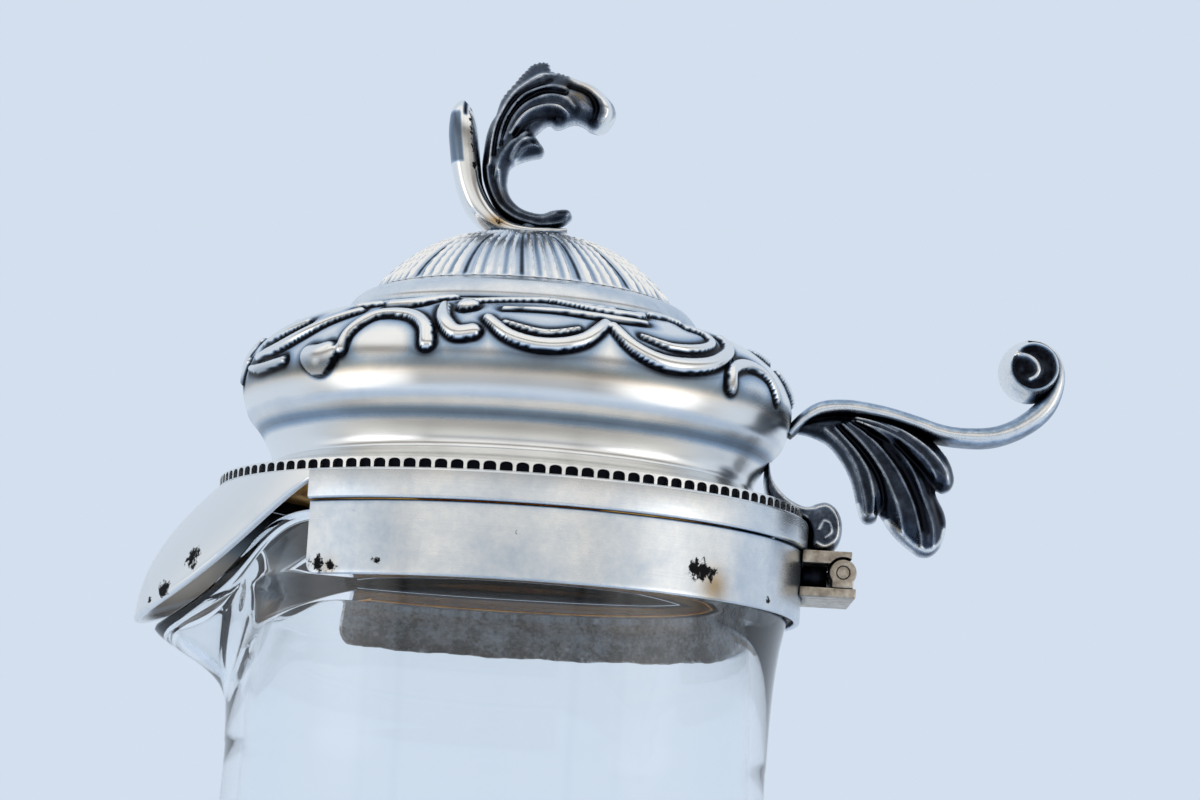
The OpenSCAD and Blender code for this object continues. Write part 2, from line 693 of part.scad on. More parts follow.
glass_body();
glass_handle();
cement_bed();
neck_collar();
mouth_ring();
collar_hinge_leaf();
side_knuckles();
hinge_pin();
lid_shell();
collet_band();
fluted_dome();
rim_band();
gallery_border();
spout_hood();
lid_hinge_leaf();
center_knuckle();
hinge_scroll();
thumb_arm();
thumb_roll();
thumb_leaf();
finial_strap();
finial_leaf();
finial_stud();
finial_nut();
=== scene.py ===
# Claret jug: clear blown glass with a silver collar and a hinged silver lid.
# Sizes here are millimetres; makePiece turns them to metres.
import bpy
import bmesh
import math
import numpy as np
from mathutils import Matrix, Vector
from mathutils.geometry import delaunay_2d_cdt


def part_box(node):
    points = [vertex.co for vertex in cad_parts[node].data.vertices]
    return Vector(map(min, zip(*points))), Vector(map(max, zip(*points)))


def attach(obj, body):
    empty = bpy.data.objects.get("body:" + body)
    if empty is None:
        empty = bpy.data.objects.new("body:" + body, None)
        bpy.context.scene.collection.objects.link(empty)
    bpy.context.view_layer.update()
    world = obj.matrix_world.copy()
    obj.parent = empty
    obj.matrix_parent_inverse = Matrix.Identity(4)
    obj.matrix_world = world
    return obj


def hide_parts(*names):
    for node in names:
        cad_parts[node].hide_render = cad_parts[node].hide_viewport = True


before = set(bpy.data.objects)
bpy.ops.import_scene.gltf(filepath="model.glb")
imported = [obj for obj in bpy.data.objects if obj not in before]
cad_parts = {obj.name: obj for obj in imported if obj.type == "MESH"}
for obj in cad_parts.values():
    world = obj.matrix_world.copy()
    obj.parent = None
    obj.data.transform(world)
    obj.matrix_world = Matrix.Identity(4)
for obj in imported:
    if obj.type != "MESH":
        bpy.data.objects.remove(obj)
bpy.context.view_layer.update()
print("frame loaded:", len(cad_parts), "nodes")


# Places taken from the CAD nodes: lowest and highest level, and half width
def levels(node):
    low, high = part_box(node)
    return low[2] * 1000, high[2] * 1000, high[1] * 1000


rimZ, borderTop, borderR = levels("gallery_border")     # rimZ is the plane of the lid's rim
collarLow, collarTop, collarR = levels("neck_collar")
bandLow, _, bandR = levels("rim_band")
glassTop = levels("mouth_ring")[0]
spoutHalf = 51.5                            # half angle left open for the spout
spoutAz = 180.0


# Small tools

def linear(code, alpha=1.0):
    parts = [int(code[i:i + 2], 16) / 255 for i in (1, 3, 5)]
    return [c / 12.92 if c <= 0.04045 else ((c + 0.055) / 1.055) ** 2.4 for c in parts] + [alpha]


def curveThrough(points, steps):
    p = np.asarray(points, float)
    n = len(p)
    out = []
    for i in range(n - 1):
        a, b, c, d = p[max(i - 1, 0)], p[i], p[i + 1], p[min(i + 2, n - 1)]
        for k in range(steps):
            t = k / steps
            out.append(0.5 * (2 * b + (c - a) * t + (2 * a - 5 * b + 4 * c - d) * t * t
                              + (3 * b - 3 * c + d - a) * t ** 3))
    out.append(p[-1])
    return np.array(out)


def resample(points, count):
    p = np.asarray(points, float)
    s = np.concatenate([[0], np.cumsum(np.linalg.norm(np.diff(p, axis=0), axis=1))])
    t = np.linspace(0, s[-1], count)
    return np.stack([np.interp(t, s, p[:, k]) for k in range(p.shape[1])], axis=1)


def tangents(p):
    d = np.gradient(np.asarray(p, float), axis=0)
    return d / np.linalg.norm(d, axis=1, keepdims=True)


def beside(p, t):
    d = tangents(p)
    return p + t * np.stack([-d[:, 1], d[:, 0]], axis=1)


def smoothStep(x, a, b):
    t = np.clip((x - a) / (b - a), 0, 1)
    return t * t * (3 - 2 * t)


# 1 at the middle, falling away over the width
def bell(x, middle, width, power=2.0):
    return np.exp(-(np.abs(x - middle) / width) ** power)


def gridFaces(rows, cols, loopRows=False, loopCols=True, start=0):
    r = np.arange(rows if loopRows else rows - 1)
    c = np.arange(cols if loopCols else cols - 1)
    r, c = np.meshgrid(r, c, indexing="ij")
    r2, c2 = (r + 1) % rows, (c + 1) % cols
    quads = np.stack([r * cols + c, r * cols + c2, r2 * cols + c2, r2 * cols + c], axis=-1)
    return (quads.reshape(-1, 4) + start).tolist()


# Two faces that close the first and the last ring
def endFaces(rows, cols):
    return [list(range(cols)), [(rows - 1) * cols + k for k in range(cols - 1, -1, -1)]]


# Two faces that close the two sides of a ring left open
def sideFaces(rows, cols):
    return [[i * cols for i in range(rows)], [i * cols + cols - 1 for i in range(rows - 1, -1, -1)]]


def ringPoints(r, z, a):
    r, z, a = np.broadcast_arrays(r, z, a)
    return np.stack([r * np.cos(a), r * np.sin(a), z], axis=-1)


def setValues(mesh, values):
    for key, data in values.items():
        mesh.attributes.new(key, "FLOAT", "POINT").data.foreach_set("value", np.asarray(data, np.float32))


def newObject(name, data):
    thing = bpy.data.objects.new(name, data)
    bpy.context.scene.collection.objects.link(thing)
    return thing


def makePiece(name, points, faces, values=None, flatAngle=None):
    mesh = bpy.data.meshes.new(name)
    mesh.from_pydata((np.asarray(points, float) / 1000).tolist(), [], faces)
    setValues(mesh, values or {})
    mesh.validate()
    mesh.update()
    mesh.shade_smooth()
    if flatAngle:
        mesh.set_sharp_from_angle(angle=math.radians(flatAngle))
    return newObject(name, mesh)


def outward(piece):
    work = bmesh.new()
    work.from_mesh(piece.data)
    bmesh.ops.recalc_face_normals(work, faces=work.faces)
    work.to_mesh(piece.data)
    work.free()
    return piece


# Material, body, slot (not used) and the CAD nodes that the piece stands for
def finishPiece(piece, body, slot, material, *nodes):
    piece.data.materials.clear()
    for m in (material if isinstance(material, list) else [material]):
        piece.data.materials.append(m)
    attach(piece, body)
    if nodes:
        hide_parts(*nodes)


# A closed section turned round the jug's axis
def lathe(name, section, azimuths, whole=True, bend=None, flatAngle=40):
    a, r = np.meshgrid(np.radians(azimuths), [q[0] for q in section])
    z = np.meshgrid(azimuths, [q[1] for q in section])[1]
    values = {}
    if bend:
        r, z, values = bend(r, z, a)
    faces = gridFaces(len(section), len(azimuths), loopRows=True, loopCols=whole)
    if not whole:
        faces += sideFaces(len(section), len(azimuths))
    values = {key: data.reshape(-1) for key, data in values.items()}
    return outward(makePiece(name, ringPoints(r, z, a).reshape(-1, 3), faces, values, flatAngle))


def allRound(count):
    return np.linspace(0, 360, count, endpoint=False)


# Azimuths of a ring that leaves the spout free, closer together at its two ends
def openRound(count, endMm=2.0, radius=42.0, endCount=9):
    half = 180 - spoutHalf
    end = math.degrees(endMm / radius)
    near = half - end * (1 - np.sin(np.linspace(0, np.pi / 2, endCount)))
    return np.concatenate([-near[::-1], np.linspace(-half + end, half - end, count)[1:-1], near])


# Outline of a ring's section with rounded corners
def roundedSection(a, b, low, high, corner, steps=5):
    out = []
    for cx, cz, start in ((b - corner, low + corner, -90), (b - corner, high - corner, 0),
                          (a + corner, high - corner, 90), (a + corner, low + corner, 180)):
        for t in np.radians(start + np.linspace(0, 90, steps)):
            out.append([cx + corner * math.cos(t), cz + corner * math.sin(t)])
    return out


def paintRings(piece, count, firstRing, lastRing, index):
    for face in piece.data.polygons[firstRing * count:lastRing * count]:
        face.material_index = index


# Materials

# Each input of a node is given a value, or the socket that it is joined to
def fill(tree, node, inputs):
    for key, value in inputs.items():
        if isinstance(value, bpy.types.NodeSocket):
            tree.links.new(value, node.inputs[key])
        else:
            node.inputs[key].default_value = value


def addNode(tree, kind, inputs=None, **settings):
    node = tree.nodes.new(kind)
    for key, value in settings.items():
        setattr(node, key, value)
    fill(tree, node, inputs or {})
    return node


def newMaterial(name):
    material = bpy.data.materials.new(name)
    material.use_nodes = True
    tree = material.node_tree
    tree.nodes.clear()
    shader = addNode(tree, "ShaderNodeBsdfPrincipled")
    addNode(tree, "ShaderNodeOutputMaterial", {0: shader.outputs[0]})
    return material, tree, shader


def vectorMaths(tree, operation, inputs):
    return addNode(tree, "ShaderNodeVectorMath", inputs, operation=operation).outputs


def millimetres(tree):
    coord = addNode(tree, "ShaderNodeTexCoord")
    return vectorMaths(tree, "SCALE", {0: coord.outputs["Object"], "Scale": 1000.0})[0]


def split(tree, vector):
    return addNode(tree, "ShaderNodeSeparateXYZ", {0: vector}).outputs


def joined(tree, *parts):
    return addNode(tree, "ShaderNodeCombineXYZ", dict(enumerate(parts))).outputs[0]


def ramp(tree, source, stops):
    node = addNode(tree, "ShaderNodeValToRGB", {0: source})
    elements = node.color_ramp.elements
    stops = list(stops)
    while len(elements) < len(stops):
        elements.new(0.5)
    for element, (place, code) in zip(elements, stops):
        element.position = place
        element.color = linear(code)
    return node.outputs[0]


def maths(tree, operation, a, b=0.0, clamp=False):
    return addNode(tree, "ShaderNodeMath", {0: a, 1: b}, operation=operation, use_clamp=clamp).outputs[0]


def noise(tree, place, scale, detail, rough=0.5):
    return addNode(tree, "ShaderNodeTexNoise", {"Vector": place, "Scale": scale, "Detail": detail,
                                                "Roughness": rough}).outputs[0]


# A value taken from the first range of limits to the second
def ranged(tree, value, limits, kind="LINEAR"):
    names = ("From Min", "From Max", "To Min", "To Max")
    return addNode(tree, "ShaderNodeMapRange", {"Value": value, **dict(zip(names, limits))},
                   interpolation_type=kind).outputs[0]


def mixed(tree, share, first, second, blend="MIX"):
    return addNode(tree, "ShaderNodeMix", {0: share, 6: first, 7: linear(second)}, data_type="RGBA",
                   blend_type=blend).outputs[2]


def centred(tree, value, size):
    return maths(tree, "MULTIPLY", maths(tree, "SUBTRACT", value, 0.5), size)


def bumped(tree, height, strength, distanceMm):
    return addNode(tree, "ShaderNodeBump", {"Strength": strength, "Distance": distanceMm / 1000,
                                            "Height": height}).outputs[0]


# Silver of about 925 parts: bright metal, and sulphide that grows pale blue, then slate, then black
# where a cloth doesn't reach. Each piece carries a mask of where that is, which on some pieces also
# holds painted shade and a painted reflection; a second mask says where the tan film lies, and on the
# lid also part of a painted dark band; a third says where there are ragged black spots.
def silver(name, look):
    material, tree, shader = newMaterial(name)
    place = millimetres(tree)
    patinaAndShade, stainAndShade, spot = [addNode(tree, "ShaderNodeAttribute", attribute_name=key).outputs["Fac"]
                           for key in ("patinaAndShade", "stainAndShade", "spot")]
    clear = addNode(tree, "ShaderNodeAmbientOcclusion", {"Distance": look["cavityMm"] / 1000},
                   samples=8).outputs["AO"]
    hidden = maths(tree, "MULTIPLY", maths(tree, "SUBTRACT", 1.0, clear), look["cavity"])
    cloud = noise(tree, place, 1 / look["cloudMm"], 5.0, 0.62)
    fine = noise(tree, place, 0.9, 6.0, 0.7)
    uneven = maths(tree, "ADD", centred(tree, cloud, look["cloud"]), centred(tree, fine, look["speck"]))
    total = maths(tree, "ADD", maths(tree, "ADD", patinaAndShade, hidden), uneven)
    total = maths(tree, "ADD", total, look["base"], clamp=True)
    tones = [look[key] for key in ("tone", "tone", "pale", "slate", "black")]
    colour = ramp(tree, total, zip(look["stops"], tones))
    film = maths(tree, "ADD", maths(tree, "MULTIPLY", cloud, look["film"]), stainAndShade, clamp=True)
    colour = mixed(tree, film, colour, look["tan"], "MULTIPLY")
    ragged = ranged(tree, maths(tree, "ADD", spot, centred(tree, fine, look["ragged"])), look["spotEdge"])
    ragged = maths(tree, "MULTIPLY", ragged, maths(tree, "GREATER_THAN", spot, 0.02))
    colour = mixed(tree, ragged, colour, look["spotTone"])
    if look["turned"]:      # the lathe's lines run round the axis, 0.3 mm apart so that they show
        x, y, z = split(tree, place)
        radius = vectorMaths(tree, "LENGTH", {0: joined(tree, x, y)})["Value"]
        line = joined(tree, maths(tree, "MULTIPLY", radius, 3.0), maths(tree, "MULTIPLY", z, 3.0),
                      maths(tree, "MULTIPLY", x, 0.03))
        grain = noise(tree, line, 1.0, 3.0)
    else:
        grain = noise(tree, place, 2.0, 4.0)
    rough = ranged(tree, total, (0.0, 1.0, look["rough"], look["dull"]))
    rough = maths(tree, "ADD", rough, maths(tree, "MULTIPLY", ragged, look["spotRough"]))
    rough = maths(tree, "ADD", rough, centred(tree, grain, look["grain"]), clamp=True)
    fill(tree, shader, {"Base Color": colour, "Metallic": 1.0, "Roughness": rough,
                        "Normal": bumped(tree, grain, look["bump"], look["bumpMm"])})
    return material


silverLook = {
    "tone": "#F1F1EF", "pale": "#9CB2C9", "slate": "#566170", "black": "#12141A", "tan": "#C9A777",
    "stops": (0.0, 0.12, 0.34, 0.58, 0.88), "ragged": 2.2, "spotEdge": (0.55, 0.7), "spotRough": 0.3,
    "spotTone": "#1B1A1B", "rough": 0.24, "dull": 0.46, "base": 0.0, "cavityMm": 1.0, "cavity": 0.7,
    "cloudMm": 9.0, "cloud": 0.14, "speck": 0.06, "film": 0.03, "grain": 0.08, "bump": 0.12,
    "bumpMm": 0.03, "turned": True}


def silverKind(name, **changes):
    return silver(name, {**silverLook, **changes})


turnedSilver = silverKind("turnedSilver", base=0.19, cloud=0.36, cloudMm=14.0, speck=0.12)
satinSilver = silverKind("satinSilver", base=0.1, cloud=0.24, cloudMm=16.0, speck=0.03, rough=0.3,
                         turned=False, grain=0.04, bump=0.03)
chasedSilver = silverKind("chasedSilver", rough=0.2)
flutedSilver = silverKind("flutedSilver", cavity=0.5, rough=0.2)
polishedSilver = silverKind("polishedSilver", rough=0.14, turned=False, cloud=0.1)
castSilver = silverKind("castSilver", base=0.08, cavity=0.9, cavityMm=1.5, turned=False,
                        cloud=0.5, cloudMm=2.5, speck=0.3, rough=0.26, grain=0.3)
# dark oxide colours; on the hinge's gap block and the small scroll this darkness is painted shade
darkOxideAndShadeSilver = silverKind("darkOxideAndShadeSilver", base=0.0, cavity=0.35, cavityMm=1.2, turned=False,
                             cloud=0.5, cloudMm=2.2, speck=0.35, rough=0.22, dull=0.36, grain=0.25,
                             black="#1A1D25", slate="#414A58", pale="#8D98A6")
wornSilver = silverKind("wornSilver", base=0.24, tone="#D9D3C8", pale="#9B958C", slate="#5D5648",
                        turned=False, cloud=0.5, cloudMm=1.8, speck=0.4, film=0.5, rough=0.34)
# oxide colours for the border; the black niche ground is partly painted shade
oxideAndShadeSilver = silverKind("oxideAndShadeSilver", cavity=0.4, cavityMm=0.6, turned=False)

# Fire-gilt silver, dulled: deep yellow metal going brown where it has worn
giltSilver = silverKind("giltSilver", tone="#D8A250", pale="#A8692A", slate="#5E3517",
                        black="#1A0F08", cloud=0.9, cloudMm=5.0, base=0.16, speck=0.3, rough=0.28)


# Lead-free blown glass: clear, with smooth fire-polished faces
def clearGlass(name, look):
    material, tree, shader = newMaterial(name)
    fill(tree, shader, {"Base Color": linear(look["tint"]), "Roughness": look["rough"],
                        "IOR": look["ior"], "Transmission Weight": 1.0})
    return material


blownGlass = clearGlass("blownGlass", {"tint": "#FBFDFE", "rough": 0.0, "ior": 1.5})


# Plaster bedding: matt grey paste, stained brown and black, with pale worn patches, darker below
pasteLook = {"stops": [(0.37, "#241F1D"), (0.46, "#77726D"), (0.53, "#BDBDBE"), (0.63, "#F0F1F3")],
             "patches": 0.2, "crumbs": 1.1, "patchShare": 0.65, "dampFrom": -2, "dampTo": 3,
             "damp": (-0.1, 0.03), "rough": 0.85, "bump": 0.5, "bumpMm": 0.3}


def plasterBedding(name, look):
    material, tree, shader = newMaterial(name)
    place = millimetres(tree)
    small = noise(tree, place, look["crumbs"], 4.0, 0.7)
    big = noise(tree, place, look["patches"], 8.0, 0.72)
    uneven = maths(tree, "ADD", maths(tree, "MULTIPLY", big, look["patchShare"]),
                   maths(tree, "MULTIPLY", small, 1 - look["patchShare"]))
    edge = (collarLow + look["dampFrom"], collarLow + look["dampTo"])
    damp = ranged(tree, split(tree, place)[2], edge + look["damp"])
    colour = ramp(tree, maths(tree, "ADD", uneven, damp), look["stops"])
    fill(tree, shader, {"Base Color": colour, "Roughness": look["rough"],
                        "Normal": bumped(tree, small, look["bump"], look["bumpMm"])})
    return material


bedding = plasterBedding("plasterBedding", pasteLook)
print("materials made")


# Glass

jugGlass = {
    "footR": 44.0, "bellyR": 60.0, "bellyZ": 66.0, "floorR": 37.0, "floorT": 10.0, "wallT": 2.4,
    "neckR": 38.2, "neckDrop": 36.0, "mouthR": 40.2, "mouthT": 4.7,
    "lipReach": 10.7, "lipDrop": 14.5, "lipT": 3.0, "lipBlend": 5.5, "lipBlendIn": 5.115,
    "flareH": 7.5, "edge": 0.3, "around": 240}


def spoutWave(az):
    off = np.abs((np.degrees(az) - spoutAz + 180) % 360 - 180)
    return np.where(off < spoutHalf, (1 + np.cos(np.pi * off / spoutHalf)) / 2, 0.0)


def bellyOut(z):
    g = jugGlass
    neckZ = rimZ - g["neckDrop"]
    low = g["footR"] + (g["bellyR"] - g["footR"]) * np.sqrt(np.clip(1 - (1 - z / g["bellyZ"]) ** 2, 0, 1))
    t = np.clip((z - g["bellyZ"]) / (neckZ - g["bellyZ"]), 0, 1)
    high = g["neckR"] + (g["bellyR"] - g["neckR"]) * (1 + np.cos(np.pi * t)) / 2
    return np.where(z <= g["bellyZ"], low, high)


def bellyIn(z):
    g = jugGlass
    t = np.clip((z - g["floorT"]) / (g["bellyZ"] - g["floorT"]), 0, 1)
    low = g["floorR"] + (g["bellyR"] - g["wallT"] - g["floorR"]) * np.sqrt(1 - (1 - t) ** 2)
    return np.where(z <= g["bellyZ"], low, bellyOut(z) - g["wallT"])


# Both grow from their first value to their second as the neck nears the collar
def flared(z, first, second):
    g = jugGlass
    return g[first] + (g[second] - g[first]) * np.exp(-np.maximum(0, collarLow - z) / g["flareH"])


def neckOut(z):
    return flared(z, "neckR", "mouthR")


def neckWall(z):
    return flared(z, "wallT", "mouthT")


def rimAt(az):
    return glassTop - jugGlass["lipDrop"] * spoutWave(az) ** 1.4


def lipOut(az, z):
    g = jugGlass
    return neckOut(z) + g["lipReach"] * spoutWave(az) ** 3.9 * np.exp(-((rimAt(az) - z) / g["lipBlend"]) ** 2)


def lipIn(az, z):
    g = jugGlass
    reach = g["lipReach"] + neckWall(z) - g["lipT"]
    return (neckOut(z) - neckWall(z)
            + reach * spoutWave(az) ** 3.9 * np.exp(-((rimAt(az) - z) / g["lipBlendIn"]) ** 2))


def glassJug():
    g = jugGlass
    az = np.linspace(0, 2 * np.pi, g["around"], endpoint=False)
    neckZ = rimZ - g["neckDrop"]
    quarter = 1 - np.cos(np.linspace(0, np.pi / 2, 26))
    rise = np.sin(np.linspace(0, np.pi / 2, 46))[1:]
    belowEdge = rimAt(az) - 1.5
    edge = g["edge"] * (lipOut(az, belowEdge) - lipIn(az, belowEdge))
    topZ = rimAt(az) - edge
    rings = [(r, 0.0) for r in np.linspace(2, g["footR"] - 0.6, 8)]
    rings += [(bellyOut(z), z) for z in g["bellyZ"] * quarter[1:]]
    rings += [(bellyOut(z), z) for z in np.linspace(g["bellyZ"], neckZ, 44)[1:]]
    rings += [(lipOut(az, z), z) for z in [neckZ + (topZ - neckZ) * k for k in rise]]
    outR, inR = lipOut(az, topZ), lipIn(az, topZ)
    for a in np.linspace(0, np.pi, 11)[1:-1]:   # fire-polished edge
        rings.append(((outR + inR) / 2 + (outR - inR) / 2 * np.cos(a), topZ + edge * np.sin(a) ** 0.7))
    rings += [(lipIn(az, z), z) for z in [neckZ + (topZ - neckZ) * k for k in rise[::-1]]]
    rings += [(bellyIn(z), z) for z in np.linspace(neckZ, g["bellyZ"], 44)[:-1]]
    rings += [(bellyIn(z), z) for z in (g["floorT"] + (g["bellyZ"] - g["floorT"]) * quarter)[::-1]]
    rings += [(r, g["floorT"]) for r in np.linspace(g["floorR"] - 1, 2, 8)]
    pts = [ringPoints(r, z, az) for r, z in rings] + [np.array([[0, 0, 0], [0, 0, g["floorT"]]])]
    faces = gridFaces(len(rings), g["around"])
    pole = len(rings) * g["around"]
    last = pole - g["around"]
    for i in range(g["around"]):        # the middles of the foot and of the floor
        j = (i + 1) % g["around"]
        faces += [[pole, j, i], [pole + 1, last + i, last + j]]
    return outward(makePiece("glassJug", np.concatenate(pts), faces))


finishPiece(glassJug(), "jug", "clear_glass", blownGlass, "glass_body")

handle = {"reach": 84.5, "topZ": 179.0, "footZ": 80.0, "r": 4.8, "sink": 2.4, "standOff": 0.03}


# A bar along a path in the plane of the spout; shape 2 is an ellipse, more is squarer
def sweep(name, path, halfT, halfW, sides=32, shape=2.0):
    d = tangents(path)
    normal = np.stack([-d[:, 1], d[:, 0]], axis=1)
    a = np.linspace(0, 2 * np.pi, sides, endpoint=False)
    ca, sa = np.cos(a), np.sin(a)
    u = np.sign(ca) * np.abs(ca) ** (2 / shape)
    v = np.sign(sa) * np.abs(sa) ** (2 / shape)
    pts = []
    for at, across, thick, wide in zip(path, normal, halfT, halfW):
        pts.append(np.stack([at[0] + across[0] * thick * u, wide * v, at[1] + across[1] * thick * u], axis=1))
    faces = gridFaces(len(path), sides) + endFaces(len(path), sides)
    return outward(makePiece(name, np.concatenate(pts), faces, None, 50))


# Points of a piece that lie too near the axis are moved out to the given radius
def keepOutside(piece, radiusAt):
    for v in piece.data.vertices:
        x, y, z = (c * 1000 for c in v.co)
        need = radiusAt(z)
        if math.hypot(x, y) < need and abs(y) < need:
            v.co.x = math.sqrt(need ** 2 - y ** 2) / 1000


def glassHandle():
    h = handle
    drop = h["topZ"] - h["footZ"]
    rootZ = h["topZ"] - 0.12 * drop
    rootX = float(bellyOut(rootZ)) - h["sink"]
    footX = float(bellyOut(h["footZ"])) - h["sink"]
    top, low, r = h["reach"] - rootX, h["reach"] - footX, h["r"]
    stations = curveThrough([
        [rootX, rootZ - 0.02 * drop, 1.5 * r, 1.5 * r],
        [rootX + 0.15 * top, rootZ + 0.03 * drop, 1.12 * r, 1.2 * r],
        [rootX + 0.37 * top, h["topZ"] - 0.024 * drop, r, 1.12 * r],
        [rootX + 0.52 * top, h["topZ"], r, 1.12 * r],
        [rootX + 0.83 * top, h["topZ"] - 0.08 * drop, r, 1.1 * r],
        [rootX + 0.98 * top, h["topZ"] - 0.22 * drop, r, 1.06 * r],
        [h["reach"], h["topZ"] - 0.42 * drop, r, r],
        [h["reach"] - 0.1 * low, h["topZ"] - 0.62 * drop, 0.96 * r, r],
        [h["reach"] - 0.34 * low, h["footZ"] + 0.2 * drop, 0.94 * r, r],
        [footX + 0.34 * low, h["footZ"] + 0.08 * drop, r, 1.08 * r],
        [footX, h["footZ"], 1.38 * r, 1.42 * r]], 10)
    piece = sweep("glassHandle", stations[:, :2], stations[:, 2], stations[:, 3], 40)
    keepOutside(piece, lambda z: float(bellyOut(z)) + h["standOff"])
    return piece


finishPiece(glassHandle(), "jug", "clear_glass", blownGlass, "glass_handle")
print("glass made")


# Ragged black spots: each is a place on the piece, its radius and how dark it is
def spots(pts, places):
    out = np.zeros(len(pts))
    for x, y, z, r, dark in places:
        out = np.maximum(out, dark * bell(np.linalg.norm(pts - (x, y, z + rimZ), axis=1), 0, r))
    return out


# Silver on the neck

# Collar: sheet bent round the neck, its lower corners rounded beside the spout
collar = {
    "wallT": 0.9, "edge": 0.28, "cornerR": 1.5,
    # black marks and pink worn patches: x, y, z from the rim, radius, how dark
    "spots": [(-24.6, -34, -12.8, 1.6, 0.9), (-22.6, -35.4, -13.2, 1.2, 0.9),
              (-16.4, -38.7, -12.4, 0.9, 0.8), (26.3, -32.8, -10.6, 2.0, 1.1),
              (28.2, -31.1, -10.8, 1.4, 0.9), (-20, -37, -6, 0.5, 0.6), (2, -42, -8, 0.6, 0.55),
              (36.3, -21.1, -13, 0.9, 0.9)],
    "worn": [(28.6, -30.7, -12.4, 2.4, 0.9), (-23, -35.1, -13.4, 1.4, 0.5)]}


def endDistance(a, radius):
    off = np.abs((np.degrees(a) + 180) % 360 - 180)
    return np.radians(180 - spoutHalf - off) * radius


# How far a rounded corner lifts the edge at a distance from the end
def cornerLift(distance, radius):
    d = np.clip(distance, 0, radius)
    return radius - np.sqrt(np.maximum(radius ** 2 - (radius - d) ** 2, 0))


def collarBend(r, z, a):
    lift = cornerLift(endDistance(a, collarR), collar["cornerR"])
    t = (z - collarLow) / (collarTop - collarLow)
    place = ringPoints(r, z, a).reshape(-1, 3)
    return r, z + lift * (1 - t) ** 2, {"spot": spots(place, collar["spots"]),
                                        "stainAndShade": spots(place, collar["worn"])}


section = roundedSection(collarR - collar["wallT"], collarR, collarLow, collarTop, collar["edge"])
tall = np.linspace(collarLow + collar["edge"], collarTop - collar["edge"], 24)
section[4:5] = [[collarR, z] for z in tall]         # rows enough to carry the spots
finishPiece(lathe("neckCollar", section, openRound(420), False, collarBend),
            "jug", "satin_silver", turnedSilver, "neck_collar")

# Bedding: paste with a ragged lower edge
bedLook = {"gap": 0.02, "thick": 0.86, "ragged": 0.5, "low": 0.3, "cornerR": 4.0, "backDrop": 1.3,
           "backEnd": 5.0}


def bedBend(r, z, a):
    g = bedLook
    deg = np.degrees(a)
    rag = (np.sin(deg * 0.31 + 1) + np.sin(deg * 0.83 + 2) * 0.6 + np.sin(deg * 2.3) * 0.3) / 1.9
    beyond = np.radians(g["backEnd"]) * collarR * (a > 0)
    lift = cornerLift(endDistance(a, collarR) + beyond, g["cornerR"])
    t = (glassTop - z) / (glassTop - collarLow)
    back = g["backDrop"] * smoothStep(np.sin(a), 0.1, 0.5)     # at the back it stands out below
    return r, z + (lift + g["ragged"] * (0.5 + 0.5 * rag) - back) * t, {}


bedOut = collarR - collar["wallT"] - bedLook["gap"]
bedIn = bedOut - bedLook["thick"]
section = roundedSection(bedIn, bedOut, collarLow + bedLook["low"], glassTop - 0.02, 0.2, 3)
around = openRound(260, 6, 41, 15)
around = around + bedLook["backEnd"] * (around > 0) * (around / around[-1]) ** 8
finishPiece(lathe("beddingPaste", section, around, False, bedBend),
            "jug", "bedding", bedding, "cement_bed")

mouthIn = jugGlass["mouthR"] - jugGlass["mouthT"] - 0.02
section = roundedSection(mouthIn, bedOut, glassTop, collarTop, 0.2, 4)
finishPiece(lathe("mouthRing", section, openRound(160), False), "jug", "gilt", giltSilver, "mouth_ring")
print("collar made")


# Lid

bandLook = {"wallT": 1.2, "edge": 0.4, "gap": 0.02}
section = roundedSection(bandR - bandLook["wallT"], bandR, bandLow, rimZ - bandLook["gap"], bandLook["edge"])
finishPiece(lathe("rimBand", section, openRound(200), False), "lid", "satin_silver", turnedSilver,
            "rim_band")

